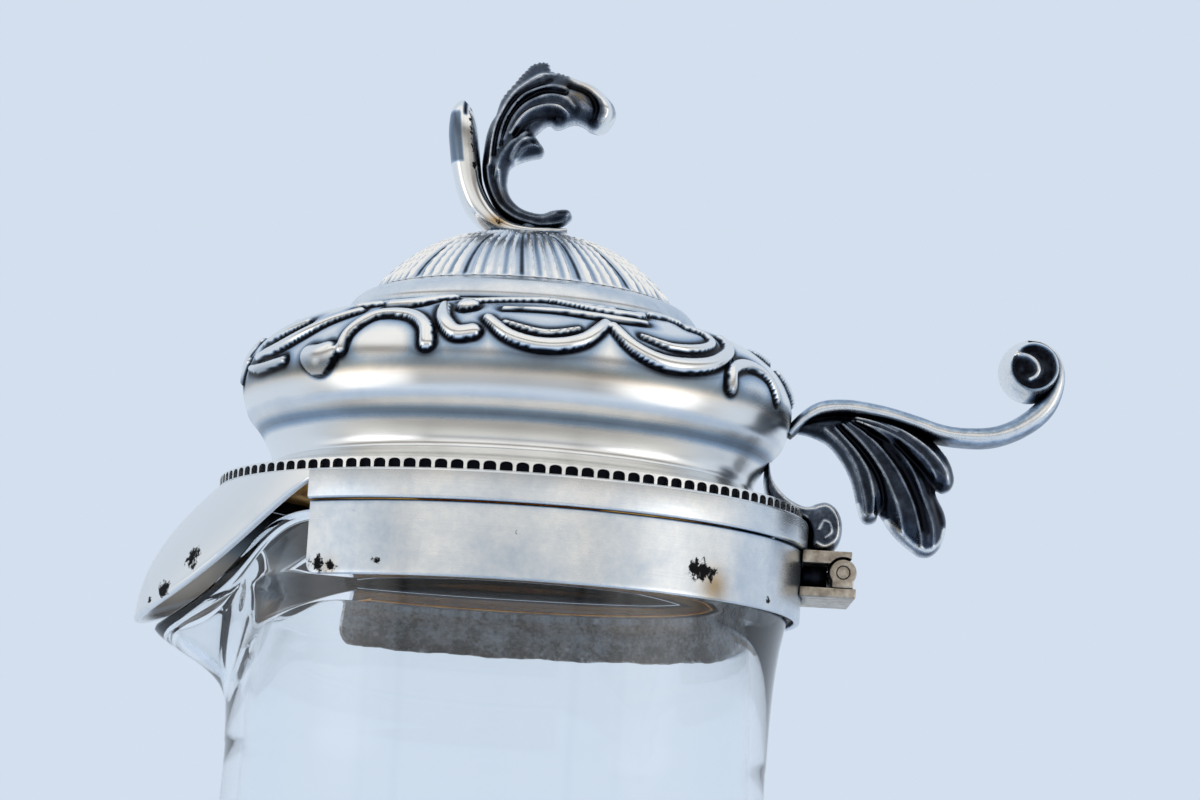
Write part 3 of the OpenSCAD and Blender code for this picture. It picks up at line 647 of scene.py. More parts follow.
# Chased ornament on the lid's shoulder. Each stroke is a list of (degrees, millimetres up the
# sheet from the border, half width), drawn once and set round the lid at the repeats.
chasing = {
    "strokes": [
        [(-80, 19.5, 0.5), (-76, 22, 0.6)],
        [(-72, 20.6, 0.4), (-64, 19.9, 0.6), (-54, 20.3, 0.5)],
        [(-68, 21.9, 0.5), (-58, 22.6, 0.65), (-50, 24.4, 0.65), (-44, 26.6, 0.6), (-38, 28.6, 0.5)],
        [(-68, 24.2, 0.4), (-60, 25.2, 0.6), (-53, 27, 0.5)],
        [(-45, 20.2, 1.3), (-42, 19.6, 1.7), (-40, 20.6, 1.2)],
        [(-37, 21, 0.6), (-36.4, 23.6, 0.6), (-32.6, 26.7, 0.65), (-28.2, 27.4, 0.65),
         (-22.5, 26.6, 0.7), (-18.8, 24.4, 0.75), (-17.6, 21.6, 0.8)],
        [(-41, 30.4, 0.6), (-35, 31, 0.5)],
        [(-31, 30.3, 0.7), (-24, 30.6, 0.8), (-20, 33, 0.7), (-17, 34.2, 0.6)],
        [(-16.8, 29.6, 0.6), (-15.4, 26, 0.8), (-12.2, 23.4, 0.85), (-8.6, 23.6, 0.85)],
        [(-11.9, 29.2, 0.9), (-10.6, 29.6, 0.9)],
        [(-13, 31.4, 0.45), (-5, 33, 0.5), (2, 34.3, 0.55), (8, 35, 0.7), (14, 33.4, 0.6),
         (19, 32, 0.55), (26, 31.2, 0.6), (31, 31.6, 0.6), (32.5, 33, 0.45)],
        [(9, 34.6, 0.7), (16, 35.4, 0.4), (26, 34.6, 0.35)],
        [(-5.9, 26.2, 0.6), (-1.2, 23.2, 0.7), (5.9, 22.1, 0.75), (13.6, 23.3, 0.75), (19.2, 27, 0.65)],
        [(-2.4, 25.6, 0.3), (5.9, 24.1, 0.35), (13, 25.3, 0.3)],
        [(-3, 29.2, 0.3), (8, 29.6, 0.4), (20, 28.9, 0.5), (30, 28.9, 0.4)],
        [(20.8, 26.6, 0.6), (24.2, 23.2, 0.75), (31.8, 21.4, 0.85), (43, 22.5, 0.8),
         (52, 26, 0.7), (53.5, 29, 0.6)],
        [(27, 25.4, 0.3), (34, 24.2, 0.45), (42, 25, 0.5), (47.5, 27, 0.5), (47, 29.3, 0.45),
         (43, 30.2, 0.4)],
        [(36, 33.4, 0.7), (41, 33.6, 0.6), (43, 31.8, 0.5)],
        [(48.6, 19.6, 0.75), (50, 22.5, 0.7), (56.6, 24, 0.65), (64, 23.2, 0.6), (67.6, 20, 0.6)],
    ],
    "fillers": [
        [(80, 25.5, 0.6), (84, 23, 0.75), (90, 22.1, 0.75), (96, 23, 0.75), (101, 25.8, 0.6)],
        [(82, 31, 0.5), (88, 33, 0.6), (95, 33.4, 0.6), (101, 31.5, 0.5)],
        [(74, 29, 0.5), (78, 27.6, 0.7), (79, 30.5, 0.5)],
    ],
    "repeats": [0, 180],
    "widen": 1.22,       # every stroke's width, times this
    "height": 0.86,      # how far a stroke stands out, per millimetre of its half width
    "groove": 0.22,      # chased line beside a stroke
    "dark": 0.95,        # how far the sulphide has blackened the chased line
    "darkMm": 0.42, "blue": 0.62, "blueMm": 1.9,
    "fieldFrom": (17.5, 21), "fieldTo": (33.5, 36.5)}

# Rings of tarnish and painted reflection: up the sheet, half width, how much, and how much of that
# comes and goes. The grey rings at 11.9 and 14.6 and the tan ring at 12.6 paint the dark reflection
# of the floor below the bulge; the other rings are tarnish.
shellLook = {"sheetT": 0.9, "lowerRings": 26, "upperRings": 84, "innerRings": 22, "around": 730,
             "reliefFrom": 14.5,
             "greyRings": [(11.9, 1.2, 0.52, 0.25), (14.6, 1.3, 0.22, 0.25), (19, 1.3, 0.32, 0)],
             "tanRings": [(18.6, 1.1, 0.75, 0.5), (12.6, 1.4, 0.22, 0)]}


colletR, colletH = 25.2, 26.0       # where the shell ends and the collet stands


def shellOutline():
    waistR, bulgeR, footR = 34.5, 39.4, borderR - 0.6
    waistH, bulgeH, footH = 4.9, 15.2, borderTop - rimZ + 0.5
    low, span, rise = footR - waistR, bulgeR - waistR, bulgeH - waistH
    drop, top = bulgeR - colletR, colletH - bulgeH
    return curveThrough([
        [footR, footH - 0.48], [waistR + 0.55 * low, footH - 0.5 + 0.24 * (waistH - footH + 0.5)],
        [waistR + 0.16 * low, footH - 0.5 + 0.5 * (waistH - footH + 0.5)], [waistR, waistH],
        [waistR + 0.37 * span, waistH + 0.34 * rise], [waistR + 0.8 * span, waistH + 0.6 * rise],
        [bulgeR, bulgeH], [bulgeR - 0.05 * drop, bulgeH + 0.3 * top],
        [bulgeR - 0.18 * drop, bulgeH + 0.55 * top], [bulgeR - 0.42 * drop, bulgeH + 0.78 * top],
        [bulgeR - 0.75 * drop, bulgeH + 0.94 * top], [colletR - 0.5, colletH]], 24)


def strokeField(az, up, radius):
    best = np.full(az.shape, 9.0)       # distance from a stroke's edge, negative inside
    height = np.zeros(az.shape)
    plan = [(s, r) for r in chasing["repeats"] for s in chasing["strokes"] + chasing["fillers"]]
    for stroke, turn in plan:
        pts = resample(curveThrough(stroke, 6), 6 * len(stroke))
        lo, hi = pts[:, 0].min() + turn - 6, pts[:, 0].max() + turn + 6
        off = (az - (lo + hi) / 2 + 180) % 360 - 180
        near = (np.abs(off) < (hi - lo) / 2) & (up > pts[:, 1].min() - 4) & (up < pts[:, 1].max() + 4)
        if not near.any():
            continue
        a = np.radians(off[near] + (lo + hi) / 2 - turn) * radius[near]
        b = up[near]
        top = np.full(a.shape, 9.0)
        hump = np.zeros(a.shape)
        for p, q in zip(pts[:-1], pts[1:]):
            ax, bx = np.radians(p[0]) * radius[near], np.radians(q[0]) * radius[near]
            dx, dy = bx - ax, q[1] - p[1]
            t = np.clip(((a - ax) * dx + (b - p[1]) * dy) / (dx * dx + dy * dy + 1e-9), 0, 1)
            d = np.hypot(a - ax - t * dx, b - p[1] - t * dy)
            w = (p[2] + t * (q[2] - p[2])) * chasing["widen"]
            top = np.minimum(top, d - w)
            rounded = np.clip(1 - (d / (1.16 * w)) ** 2, 0, 1) ** 0.62
            hump = np.maximum(hump, chasing["height"] * w * rounded)
        best[near] = np.minimum(best[near], top)
        height[near] = np.maximum(height[near], hump)
    return best, height


def lidShell():
    g, c = shellLook, chasing
    line = shellOutline()
    arc = np.concatenate([[0], np.cumsum(np.linalg.norm(np.diff(line, axis=0), axis=1))])
    at = np.concatenate([np.linspace(0, g["reliefFrom"], g["lowerRings"], endpoint=False),
                         np.linspace(g["reliefFrom"], arc[-1], g["upperRings"])])
    outer = np.stack([np.interp(at, arc, line[:, k]) for k in (0, 1)], axis=1)
    inner = beside(resample(line, g["innerRings"]), g["sheetT"])
    inner[:, 1] = np.maximum(inner[:, 1], borderTop - rimZ + 0.03)
    d = tangents(outer)
    az = allRound(g["around"])
    fromFront = (az + 90 + 180) % 360 - 180         # 0 faces the camera, + is its right
    front, up = np.meshgrid(fromFront, at)
    radius = np.meshgrid(az, outer[:, 0])[1]
    dist, height = strokeField(front, up, radius)
    field = smoothStep(up, *c["fieldFrom"]) * (1 - smoothStep(up, *c["fieldTo"]))
    lift = height - c["groove"] * bell(dist, 0.3, 0.35) * field
    r = outer[:, :1] + d[:, 1:] * lift
    z = outer[:, 1:] - d[:, :1] * lift + rimZ
    wave = 0.5 + 0.5 * np.sin(np.radians(front) * 3 + 1) * np.cos(up * 0.6 + np.radians(front) * 2)
    off = np.maximum(dist, 0)
    patinaAndShade = np.clip(smoothStep(dist, -0.12, 0.12) * (
        c["dark"] * bell(off, 0, c["darkMm"], 1.5)
        + c["blue"] * field * bell(off, 0, c["blueMm"], 1.4) * (0.6 + 0.4 * wave)), 0, 1)
    # grey and tan rings: tarnish, plus a painted dark reflection band below the bulge
    patinaAndShade += sum(much * bell(up, place, wide) * (1 - part + part * wave)
                  for place, wide, much, part in g["greyRings"])
    stainAndShade = sum(much * bell(up, place, wide) * (1 - part + part * wave)
                for place, wide, much, part in g["tanRings"])
    clean = np.zeros((len(inner), g["around"]))
    a = np.radians(az)
    within = [ringPoints(q[0], q[1] + rimZ, a)[None] for q in inner[::-1]]
    pts = np.concatenate([ringPoints(r, z, a)] + within)
    rows = len(outer) + len(inner)
    piece = outward(makePiece("lidShell", pts.reshape(-1, 3), gridFaces(rows, g["around"], loopRows=True),
                              {"patinaAndShade": np.concatenate([patinaAndShade, clean]).reshape(-1),
                               "stainAndShade": np.concatenate([stainAndShade, clean]).reshape(-1)}, 50))
    finishPiece(piece, "lid", "lid_silver", [chasedSilver, giltSilver], "lid_shell")
    paintRings(piece, g["around"], len(outer), rows - 1, 1)


lidShell()
print("lid shell made")


domeLook = {"r": 21.6, "footH": 30.0, "topH": 40.2, "groups": 16, "perGroup": 5, "depth": 0.5,
            "groupDepth": 0.4, "lean": 4.0, "sheetT": 1.5, "around": 1120, "rings": 66}


# Plain band between the chased shoulder and the dome, turned and polished
def colletBand():
    g = domeLook
    h = g["footH"] - colletH
    base, top, z0 = colletR, g["r"], rimZ + colletH + 0.02
    line = curveThrough([[base - 0.9, z0], [base - 0.1, z0 + 0.12], [base + 0.1, z0 + 0.5],
                         [base - 0.1, z0 + 0.36 * h], [base - 0.4 * (base - top), z0 + 0.74 * h],
                         [top + 0.45, z0 + h - 0.25], [top - 0.2, z0 + h - 0.05]], 8)
    loop = line.tolist() + [[top - 0.9, z0 + h - 0.3], [base - 1.8, z0]]
    return lathe("colletBand", loop, allRound(360), flatAngle=50)


finishPiece(colletBand(), "lid", "satin_silver", turnedSilver, "collet_band")


def flutedDome():
    g = domeLook
    h, base = g["topH"] - g["footH"], rimZ + g["footH"]
    line = curveThrough([[g["r"], 0.04], [0.96 * g["r"], 0.15 * h], [0.85 * g["r"], 0.39 * h],
                         [0.69 * g["r"], 0.65 * h], [0.5 * g["r"], 0.84 * h], [0.25 * g["r"], 0.96 * h],
                         [0.06 * g["r"], 0.999 * h]], 16)
    outer = resample(line, g["rings"])
    d = tangents(outer)
    az = allRound(g["around"])
    a = np.radians(az)
    rows, patinaAndShade = [], []
    for i, (r, z) in enumerate(outer):
        turned = az + g["lean"] * i / (len(outer) - 1)      # the flutes lean a little as they climb
        phase = turned / 360 * g["groups"] * g["perGroup"]
        hollow = np.abs(np.sin(np.pi * phase))              # 0 on the sharp edge between two flutes
        deep = bell(np.sin(np.pi * turned / 360 * g["groups"]), 0, 0.13)
        fade = smoothStep(r, 2.0, 8.0) * min(1.0, 0.2 + i / 3)
        lift = -(g["depth"] * hollow ** 0.7 + g["groupDepth"] * deep) * fade
        rows.append(ringPoints(r + d[i, 1] * lift, base + z - d[i, 0] * lift, a))
        tone = 0.5 + 0.5 * np.sin(np.floor(phase) * 2.4)    # no two flutes are equally dark
        side = np.cos(np.pi * (phase % 1))                  # one side of a flute is cleaner
        patinaAndShade.append(np.clip((hollow ** 2 * (0.16 + 0.2 * tone) * (1 - 0.4 * side) + 0.8 * deep)
                              * fade, 0, 1))
    inner = [q for q in beside(resample(line, 14), g["sheetT"]) if q[0] > 1.4]
    for r, z in inner[::-1]:
        rows.append(ringPoints(r, base + max(z, 0.04), a))
        patinaAndShade.append(np.zeros(g["around"]))
    faces = gridFaces(len(rows), g["around"], True)
    piece = outward(makePiece("flutedDome", np.concatenate(rows), faces,
                              {"patinaAndShade": np.concatenate(patinaAndShade)}, 70))
    finishPiece(piece, "lid", "fluted_silver", [flutedSilver, giltSilver], "fluted_dome")
    paintRings(piece, g["around"], g["rings"], len(rows) - 1, 1)


flutedDome()
print("dome made")


# Gallery border: a plain ring with an arched frame at each niche, set round it by Geometry Nodes
borderLook = {"niches": 120, "depth": 0.55, "rib": 0.46, "ringIn": 39.7}


# One arch: a closed prism between the niche's outline and the frame's
def nicheFrame():
    g = borderLook
    pitch = 2 * math.pi * borderR / g["niches"]
    high = borderTop - rimZ
    half, rise = (pitch - g["rib"]) / 2, high - 0.16
    spring = rise - half * 0.62
    arch = [(-half, 0.1)] + [(-half * math.cos(t), spring + half * 0.62 * math.sin(t) ** 0.8)
                             for t in np.linspace(0, math.pi, 7)] + [(half, 0.1)]
    rim = [(-pitch / 2, 0.0), (-pitch / 2, spring)]
    rim += [(pitch * k, high) for k in (-1 / 2, -1 / 3, -1 / 7, 1 / 7, 1 / 3, 1 / 2)] + [(pitch / 2, 0.0)]
    n, m = len(arch), len(arch) + len(rim)
    pts = [[x, y, z] for x in (0, -g["depth"]) for y, z in arch + rim]
    faces = []
    for i in range(n):
        a, b, c, d = i, (i + 1) % n, n + (i + 1) % n, n + i
        faces += [[a, b, c, d], [m + d, m + c, m + b, m + a], [b, a, m + a, m + b], [d, c, m + c, m + d]]
    return makePiece("nicheFrame", pts, faces, None, 30)


def socketOf(tree, name):
    return next(i.identifier for i in tree.interface.items_tree if i.name == name)


def nicheTree(material):
    tree = bpy.data.node_groups.new("nicheRing", "GeometryNodeTree")
    for name, kind in (("Radius", "NodeSocketFloat"), ("Niches", "NodeSocketInt"),
                       ("Height", "NodeSocketFloat"), ("Frame", "NodeSocketObject")):
        tree.interface.new_socket(name, in_out="INPUT", socket_type=kind)
    tree.interface.new_socket("Geometry", in_out="OUTPUT", socket_type="NodeSocketGeometry")
    given = addNode(tree, "NodeGroupInput").outputs
    circle = addNode(tree, "GeometryNodeMeshCircle",
                     {"Vertices": given["Niches"], "Radius": given["Radius"]})
    raised = addNode(tree, "GeometryNodeTransform", {
        "Geometry": circle.outputs[0], "Translation": joined(tree, 0.0, 0.0, given["Height"])})
    place = addNode(tree, "GeometryNodeInputPosition")
    outwardWay = vectorMaths(tree, "MULTIPLY", {0: place.outputs[0], 1: (1, 1, 0)})[0]
    turn = addNode(tree, "FunctionNodeAlignEulerToVector", {"Vector": outwardWay}, axis="X",
                   pivot_axis="Z")
    frameInfo = addNode(tree, "GeometryNodeObjectInfo", {"Object": given["Frame"]})
    placed = addNode(tree, "GeometryNodeInstanceOnPoints", {
        "Points": raised.outputs[0], "Instance": frameInfo.outputs["Geometry"],
        "Rotation": turn.outputs[0]})
    real = addNode(tree, "GeometryNodeRealizeInstances", {0: placed.outputs[0]})
    coated = addNode(tree, "GeometryNodeSetMaterial", {0: real.outputs[0], "Material": material})
    addNode(tree, "NodeGroupOutput", {0: coated.outputs[0]})
    return tree


def galleryBorder():
    g = borderLook
    frameOne = nicheFrame()
    tree = nicheTree(oxideAndShadeSilver)
    holder = makePiece("nicheHolder", [[0, 0, 0]], [])
    modifier = holder.modifiers.new("niches", "NODES")
    modifier.node_group = tree
    for name, value in (("Radius", borderR / 1000), ("Niches", g["niches"]), ("Height", rimZ / 1000),
                        ("Frame", frameOne)):
        modifier[socketOf(tree, name)] = value
    evaluated = holder.evaluated_get(bpy.context.evaluated_depsgraph_get())
    piece = newObject("nicheFrames", bpy.data.meshes.new_from_object(evaluated))
    for old in (holder, frameOne):
        bpy.data.objects.remove(old)
    finishPiece(piece, "lid", "oxidised_silver", oxideAndShadeSilver, "gallery_border")
    # the ring behind the frames is black where the niches open on it: oxide in the hollows, and painted shade
    # in the recesses
    back = borderR - g["depth"]
    ring = lathe("nicheGround", [
        [g["ringIn"], rimZ + 0.01], [back - 0.05, rimZ + 0.01], [back + 0.03, rimZ + 0.2],
        [back + 0.03, borderTop - 0.1], [back - 0.1, borderTop], [g["ringIn"], borderTop]], allRound(240))
    setValues(ring.data, {"patinaAndShade": np.ones(len(ring.data.vertices))})
    finishPiece(ring, "lid", "oxidised_silver", oxideAndShadeSilver)


galleryBorder()
print("border made")


hoodLook = {"reach": 9.8, "drop": 19.2, "sheetT": 0.9, "bead": 0.62, "beadFrom": 3.0, "round": 12.0,
            "meridians": 140, "steps": 44,
            "spots": [(-43.6, -15.5, -11.2, 1.9, 1.05), (-47.3, -10.5, -15.2, 1.5, 1.05),
                      (-49.6, -7.4, -16.8, 1.0, 1.0), (-37.5, -24.5, -4.2, 0.7, 0.7),
                      (-51.6, -2, -18.4, 1.0, 0.9)]}


def hoodWave(a):
    e = hoodLook["round"]
    return 1 - (np.sqrt(a * a + e * e) - e) / (math.sqrt(spoutHalf ** 2 + e * e) - e)


def hoodLine(a, count):
    g = hoodLook
    wave = hoodWave(a)
    low = rimZ - g["sheetT"] - (g["drop"] - g["sheetT"]) * wave ** 1.12
    edge = borderR + (bandR + g["reach"] - borderR) * wave ** 3
    u = np.linspace(0, 1, count)
    return np.stack([borderR + (edge - borderR) * np.sin(np.pi / 2 * u ** 0.85),
                     rimZ - 0.02 + (low - rimZ) * u], axis=1)


def spoutHood():
    g = hoodLook
    azs = spoutHalf * np.sin(np.linspace(-np.pi / 2, np.pi / 2, g["meridians"]))
    loops = []
    for a in azs:
        line = hoodLine(a, g["steps"])
        inner = beside(line, -g["sheetT"])
        inner[:, 1] = np.minimum(inner[:, 1], rimZ - 0.02)
        # a bead along the free edge, smaller where the hood runs out into the rim
        size = min(1.0, (line[0, 1] - line[-1, 1]) / g["beadFrom"])
        radius = g["sheetT"] / 2 + (g["bead"] - g["sheetT"] / 2) * size
        mid = (line[-1] + inner[-1]) / 2
        way = tangents(line)[-1]
        side = (line[-1] - inner[-1]) / np.linalg.norm(line[-1] - inner[-1])
        bead = [mid - way * radius * 0.8 + radius * (math.cos(t) * side + math.sin(t) * way)
                for t in np.linspace(0.35, np.pi - 0.35, 9)]
        loops.append(np.concatenate([line[:-2], bead, inner[::-1][2:]]))
    loops = np.array(loops)
    count, rows = loops.shape[:2]
    pts = ringPoints(loops[:, :, 0].T, loops[:, :, 1].T, np.radians(spoutAz + azs)).reshape(-1, 3)
    faces = gridFaces(rows, count, loopRows=True, loopCols=False) + sideFaces(rows, count)
    inside = np.repeat(np.arange(rows) > g["steps"] + 9, count)
    values = {"patinaAndShade": inside * bell(pts[:, 2], rimZ, 6) * 0.8, "stainAndShade": inside * 0.5,
              "spot": spots(pts, g["spots"]) * ~inside}
    piece = outward(makePiece("spoutHood", pts, faces, values, 60))
    finishPiece(piece, "lid", "satin_silver", satinSilver, "spout_hood")


spoutHood()
print("hood made")


# Tools for cast ornament

def segmentDistance(points, line):
    best = np.full(len(points), 1e9)
    for a, b in zip(line[:-1], line[1:]):
        d = b - a
        t = np.clip(((points - a) @ d) / (d @ d + 1e-12), 0, 1)
        best = np.minimum(best, np.hypot(*(points - a - t[:, None] * d).T))
    return best


# A cast piece seen from both sides: a rounded body inside an outline, with ridges and hollows
# drawn along strokes. A stroke is (points, half width, height, how much darker).
def reliefPlate(name, look):
    edge = curveThrough(look["outline"] + look["outline"][:1], 4)[:-1]
    if "beads" in look:         # a row of small beads along part of the outline
        a, b, size = look["beads"]
        step = np.arange(a, b)
        way = tangents(edge)[step]
        edge[step] += np.stack([-way[:, 1], way[:, 0]], axis=1) * size * (step % 2 * 2 - 1)[:, None]
    closed = np.concatenate([edge, edge[:1]])
    gap = look["gap"]
    (lowX, lowZ), (highX, highZ) = edge.min(axis=0), edge.max(axis=0)
    gx, gz = np.meshgrid(np.arange(lowX, highX, gap), np.arange(lowZ, highZ, gap * 0.87))
    gx[1::2] += gap / 2
    grid = np.stack([gx.ravel(), gz.ravel()], axis=1)
    after = np.roll(edge, -1, axis=0)
    cross = ((edge[:, 1] > grid[:, 1:2]) != (after[:, 1] > grid[:, 1:2])) & (
        grid[:, 0:1] < (after[:, 0] - edge[:, 0]) * (grid[:, 1:2] - edge[:, 1])
        / (after[:, 1] - edge[:, 1] + 1e-12) + edge[:, 0])
    within = cross.sum(axis=1) % 2 == 1
    inside = grid[within & (segmentDistance(grid, closed) > 0.45 * gap)]
    flat = [Vector(q) for q in np.concatenate([edge, inside]).tolist()]
    laid = delaunay_2d_cdt(flat, [], [list(range(len(edge)))], 1, 1e-5)
    at, triangles = np.array([tuple(q) for q in laid[0]]), laid[2]
    depth = segmentDistance(at, closed)
    half = np.interp(at[:, look["widthBy"]], *zip(*look["halfWidth"]))
    body = half * np.sqrt(1 - (1 - np.clip(depth / look["round"], 0, 1)) ** 2)
    rise = np.zeros(len(at))
    dark = np.full(len(at), look["dark"]) - look["edgeBright"] * bell(depth, 0, 0.22)
    for points, width, height, darker in look["strokes"]:
        near = bell(segmentDistance(at, curveThrough(points, 5)), 0, width)
        rise += height * near
        dark += darker * near
    rise *= np.clip(depth / 0.35, 0, 1)
    stainAndShade = np.zeros(len(at))
    for x, z, r, much in look.get("stains", []):
        stainAndShade = np.maximum(stainAndShade, much * bell(np.hypot(*(at - (x, z)).T), 0, r))
    onEdge = depth < 1e-4
    count = len(at)
    other = np.where(onEdge, np.arange(count), np.arange(count) + count)
    front = np.stack([at[:, 0], -np.where(onEdge, 0, body + rise), at[:, 1] + rimZ], axis=1)
    faces = [list(f) for f in triangles] + [[int(other[i]) for i in f[::-1]] for f in triangles]
    piece = outward(makePiece(name, np.concatenate([front, front * (1, -1, 1)]), faces, {
        "patinaAndShade": np.clip(np.tile(dark, 2), 0, 1), "stainAndShade": np.tile(stainAndShade, 2)}, 80))
    work = bmesh.new()
    work.from_mesh(piece.data)
    bmesh.ops.delete(work, geom=[v for v in work.verts if not v.link_faces], context="VERTS")
    work.to_mesh(piece.data)
    work.free()
    return piece


# Hinge, and the stud and nut under the finial

# A copy of a CAD node with its edges worn round
def softened(node, name, edge):
    source = bpy.data.objects[node]
    work = bmesh.new()
    work.from_mesh(source.data)
    work.transform(source.matrix_world)
    bmesh.ops.remove_doubles(work, verts=work.verts, dist=1e-6)
    bmesh.ops.dissolve_limit(work, angle_limit=math.radians(2), verts=work.verts, edges=work.edges)
    sharp = [e for e in work.edges if len(e.link_faces) == 2 and e.calc_face_angle() > math.radians(40)]
    bmesh.ops.bevel(work, geom=sharp, offset=edge / 1000, segments=3, profile=0.5, affect="EDGES",
                    clamp_overlap=True)
    mesh = bpy.data.meshes.new(name)
    work.to_mesh(mesh)
    work.free()
    mesh.shade_smooth()
    mesh.set_sharp_from_angle(angle=math.radians(35))
    return newObject(name, mesh)


for node, name, body, slot, material, edge in (
        ("collar_hinge_leaf", "lowerLeaf", "jug", "worn_silver", wornSilver, 0.22),
        ("side_knuckles", "outerKnuckles", "jug", "worn_silver", wornSilver, 0.22),
        ("lid_hinge_leaf", "upperLeaf", "lid", "worn_silver", wornSilver, 0.22),
        ("center_knuckle", "middleKnuckle", "lid", "worn_silver", wornSilver, 0.22),
        ("hinge_pin", "hingePin", "jug", "hinge_pin", wornSilver, 0.15),
        ("finial_stud", "finialStud", "lid", "hinge_pin", castSilver, 0.2),
        ("finial_nut", "finialNut", "lid", "gilt", giltSilver, 0.2)):
    finishPiece(softened(node, name, edge), body, slot, material, node)

# A black block fills the gap between the two leaves, from the collar to the barrel: painted shade in that gap
gapShadeLook = {"x": (41.9, 45.2), "z": (-9.1, -6.3), "half": 6.4}


def hingeWeb():
    g = gapShadeLook
    corners = [[x, y, z + rimZ] for x in g["x"] for y in (-g["half"], g["half"]) for z in g["z"]]
    faces = [[0, 1, 3, 2], [4, 6, 7, 5], [0, 4, 5, 1], [2, 3, 7, 6], [0, 2, 6, 4], [1, 5, 7, 3]]
    return outward(makePiece("hingeWeb", corners, faces, {"patinaAndShade": np.ones(8)}))


finishPiece(hingeWeb(), "jug", "worn_silver", darkOxideAndShadeSilver)
print("hinge made")


# Thumb lever

lever = {"line": [
    (39.0, 13.2, 0.8, 2.6), (41.6, 15.8, 1.0, 3.2), (44, 17.0, 1.2, 3.8), (47.4, 17.3, 1.2, 4.3),
    (51.1, 16.9, 1.2, 4.5), (54.2, 16.3, 1.2, 4.5), (57.6, 15.4, 1.2, 4.5), (60.2, 14.6, 1.25, 4.4),
    (63, 14.2, 1.25, 4.3), (67.3, 14.3, 1.35, 4.3), (70.5, 15.2, 1.4, 4.3), (73.4, 16.9, 1.5, 4.3),
    (75.6, 19.0, 1.5, 4.3), (76.9, 21.6, 1.25, 4.3), (77.25, 24.2, 0.95, 4.3), (76.4, 26.6, 0.7, 4.2),
    (74.6, 28.0, 0.45, 4.0), (72.6, 28.3, 0.25, 3.8)],
    "sides": 36, "rootR": 38.9, "rollAround": 96, "rollX": 73.4, "rollZ": 24.3, "rollR": 4.5,
    "faceR": 3.3, "rollHalf": 5.6,
    "hook": [(-3.3, 1.2), (-2.2, 1.7), (-0.8, 1.5), (0.3, 0.7), (0.7, -0.3), (0.3, -1.3), (-0.5, -1.8)]}


def leverArm():
    g = lever
    path = curveThrough([(x, z + rimZ, t, w) for x, z, t, w in g["line"]], 8)
    piece = sweep("thumbArm", path[:, :2], path[:, 2], path[:, 3], g["sides"], 2.6)
    keepOutside(piece, lambda z: g["rootR"])        # the root stands on the lid's outside
    # painted shade above and below a bright ridge along each flank, darkest on the underside near the root;
    # the ridge left clean is a painted highlight
    u = np.tile(np.cos(np.linspace(0, 2 * np.pi, g["sides"], endpoint=False)), len(path))
    along = np.repeat(np.linspace(0, 1, len(path)), g["sides"])
    middle = len(path) // 2
    if piece.data.vertices[middle * g["sides"]].co.z * 1000 <= path[middle, 1]:
        u = -u
    dark = 0.3 * smoothStep(u, -0.1, 0.3) * (1 - smoothStep(u, 0.8, 0.98))
    dark += 0.42 * (1 - smoothStep(u, -0.85, -0.45))
    dark += 0.3 * (1 - smoothStep(u, -0.9, -0.2)) * (1 - smoothStep(along, 0.3, 0.5))
    setValues(piece.data, {"patinaAndShade": dark})
    return piece


finishPiece(leverArm(), "lid", "cast_silver", castSilver, "thumb_arm")


# The roll is a barrel with a spiral eye in each end
def thumbRoll():
    g = lever
    around = g["rollAround"]
    t = np.linspace(0, 2 * np.pi, around, endpoint=False)
    hook = curveThrough(g["hook"], 6)
    half = []       # radius, distance from the middle and darkness, from one end to the middle
    for r in np.linspace(0.05, g["faceR"], 26):
        near = bell(segmentDistance(np.stack([r * np.cos(t), r * np.sin(t)], axis=1), hook), 0, 0.42)
        ring = bell(r, g["faceR"], 0.3)
        half.append((r, g["rollHalf"] - 0.7 + 0.6 * near + 0.5 * ring, 0.78 - 0.75 * near - 0.5 * ring))
    for k in np.linspace(0.04, 0.5, 14):
        r = g["faceR"] + (g["rollR"] - g["faceR"]) * math.sin(math.pi * k)
        half.append((r, np.full(around, g["rollHalf"] * (1 - 2 * k)), np.zeros(around)))
    rings = half + [(r, -y, dark) for r, y, dark in half[::-1][1:]]
    pts = [np.stack([g["rollX"] + r * np.cos(t), y, g["rollZ"] + rimZ + r * np.sin(t)], axis=-1)
           for r, y, _ in rings]
    faces = gridFaces(len(rings), around) + endFaces(len(rings), around)
    return outward(makePiece("thumbRoll", np.concatenate(pts), faces,
                             {"patinaAndShade": np.concatenate([dark for _, _, dark in rings])}, 50))


finishPiece(thumbRoll(), "lid", "cast_silver", castSilver, "thumb_roll")

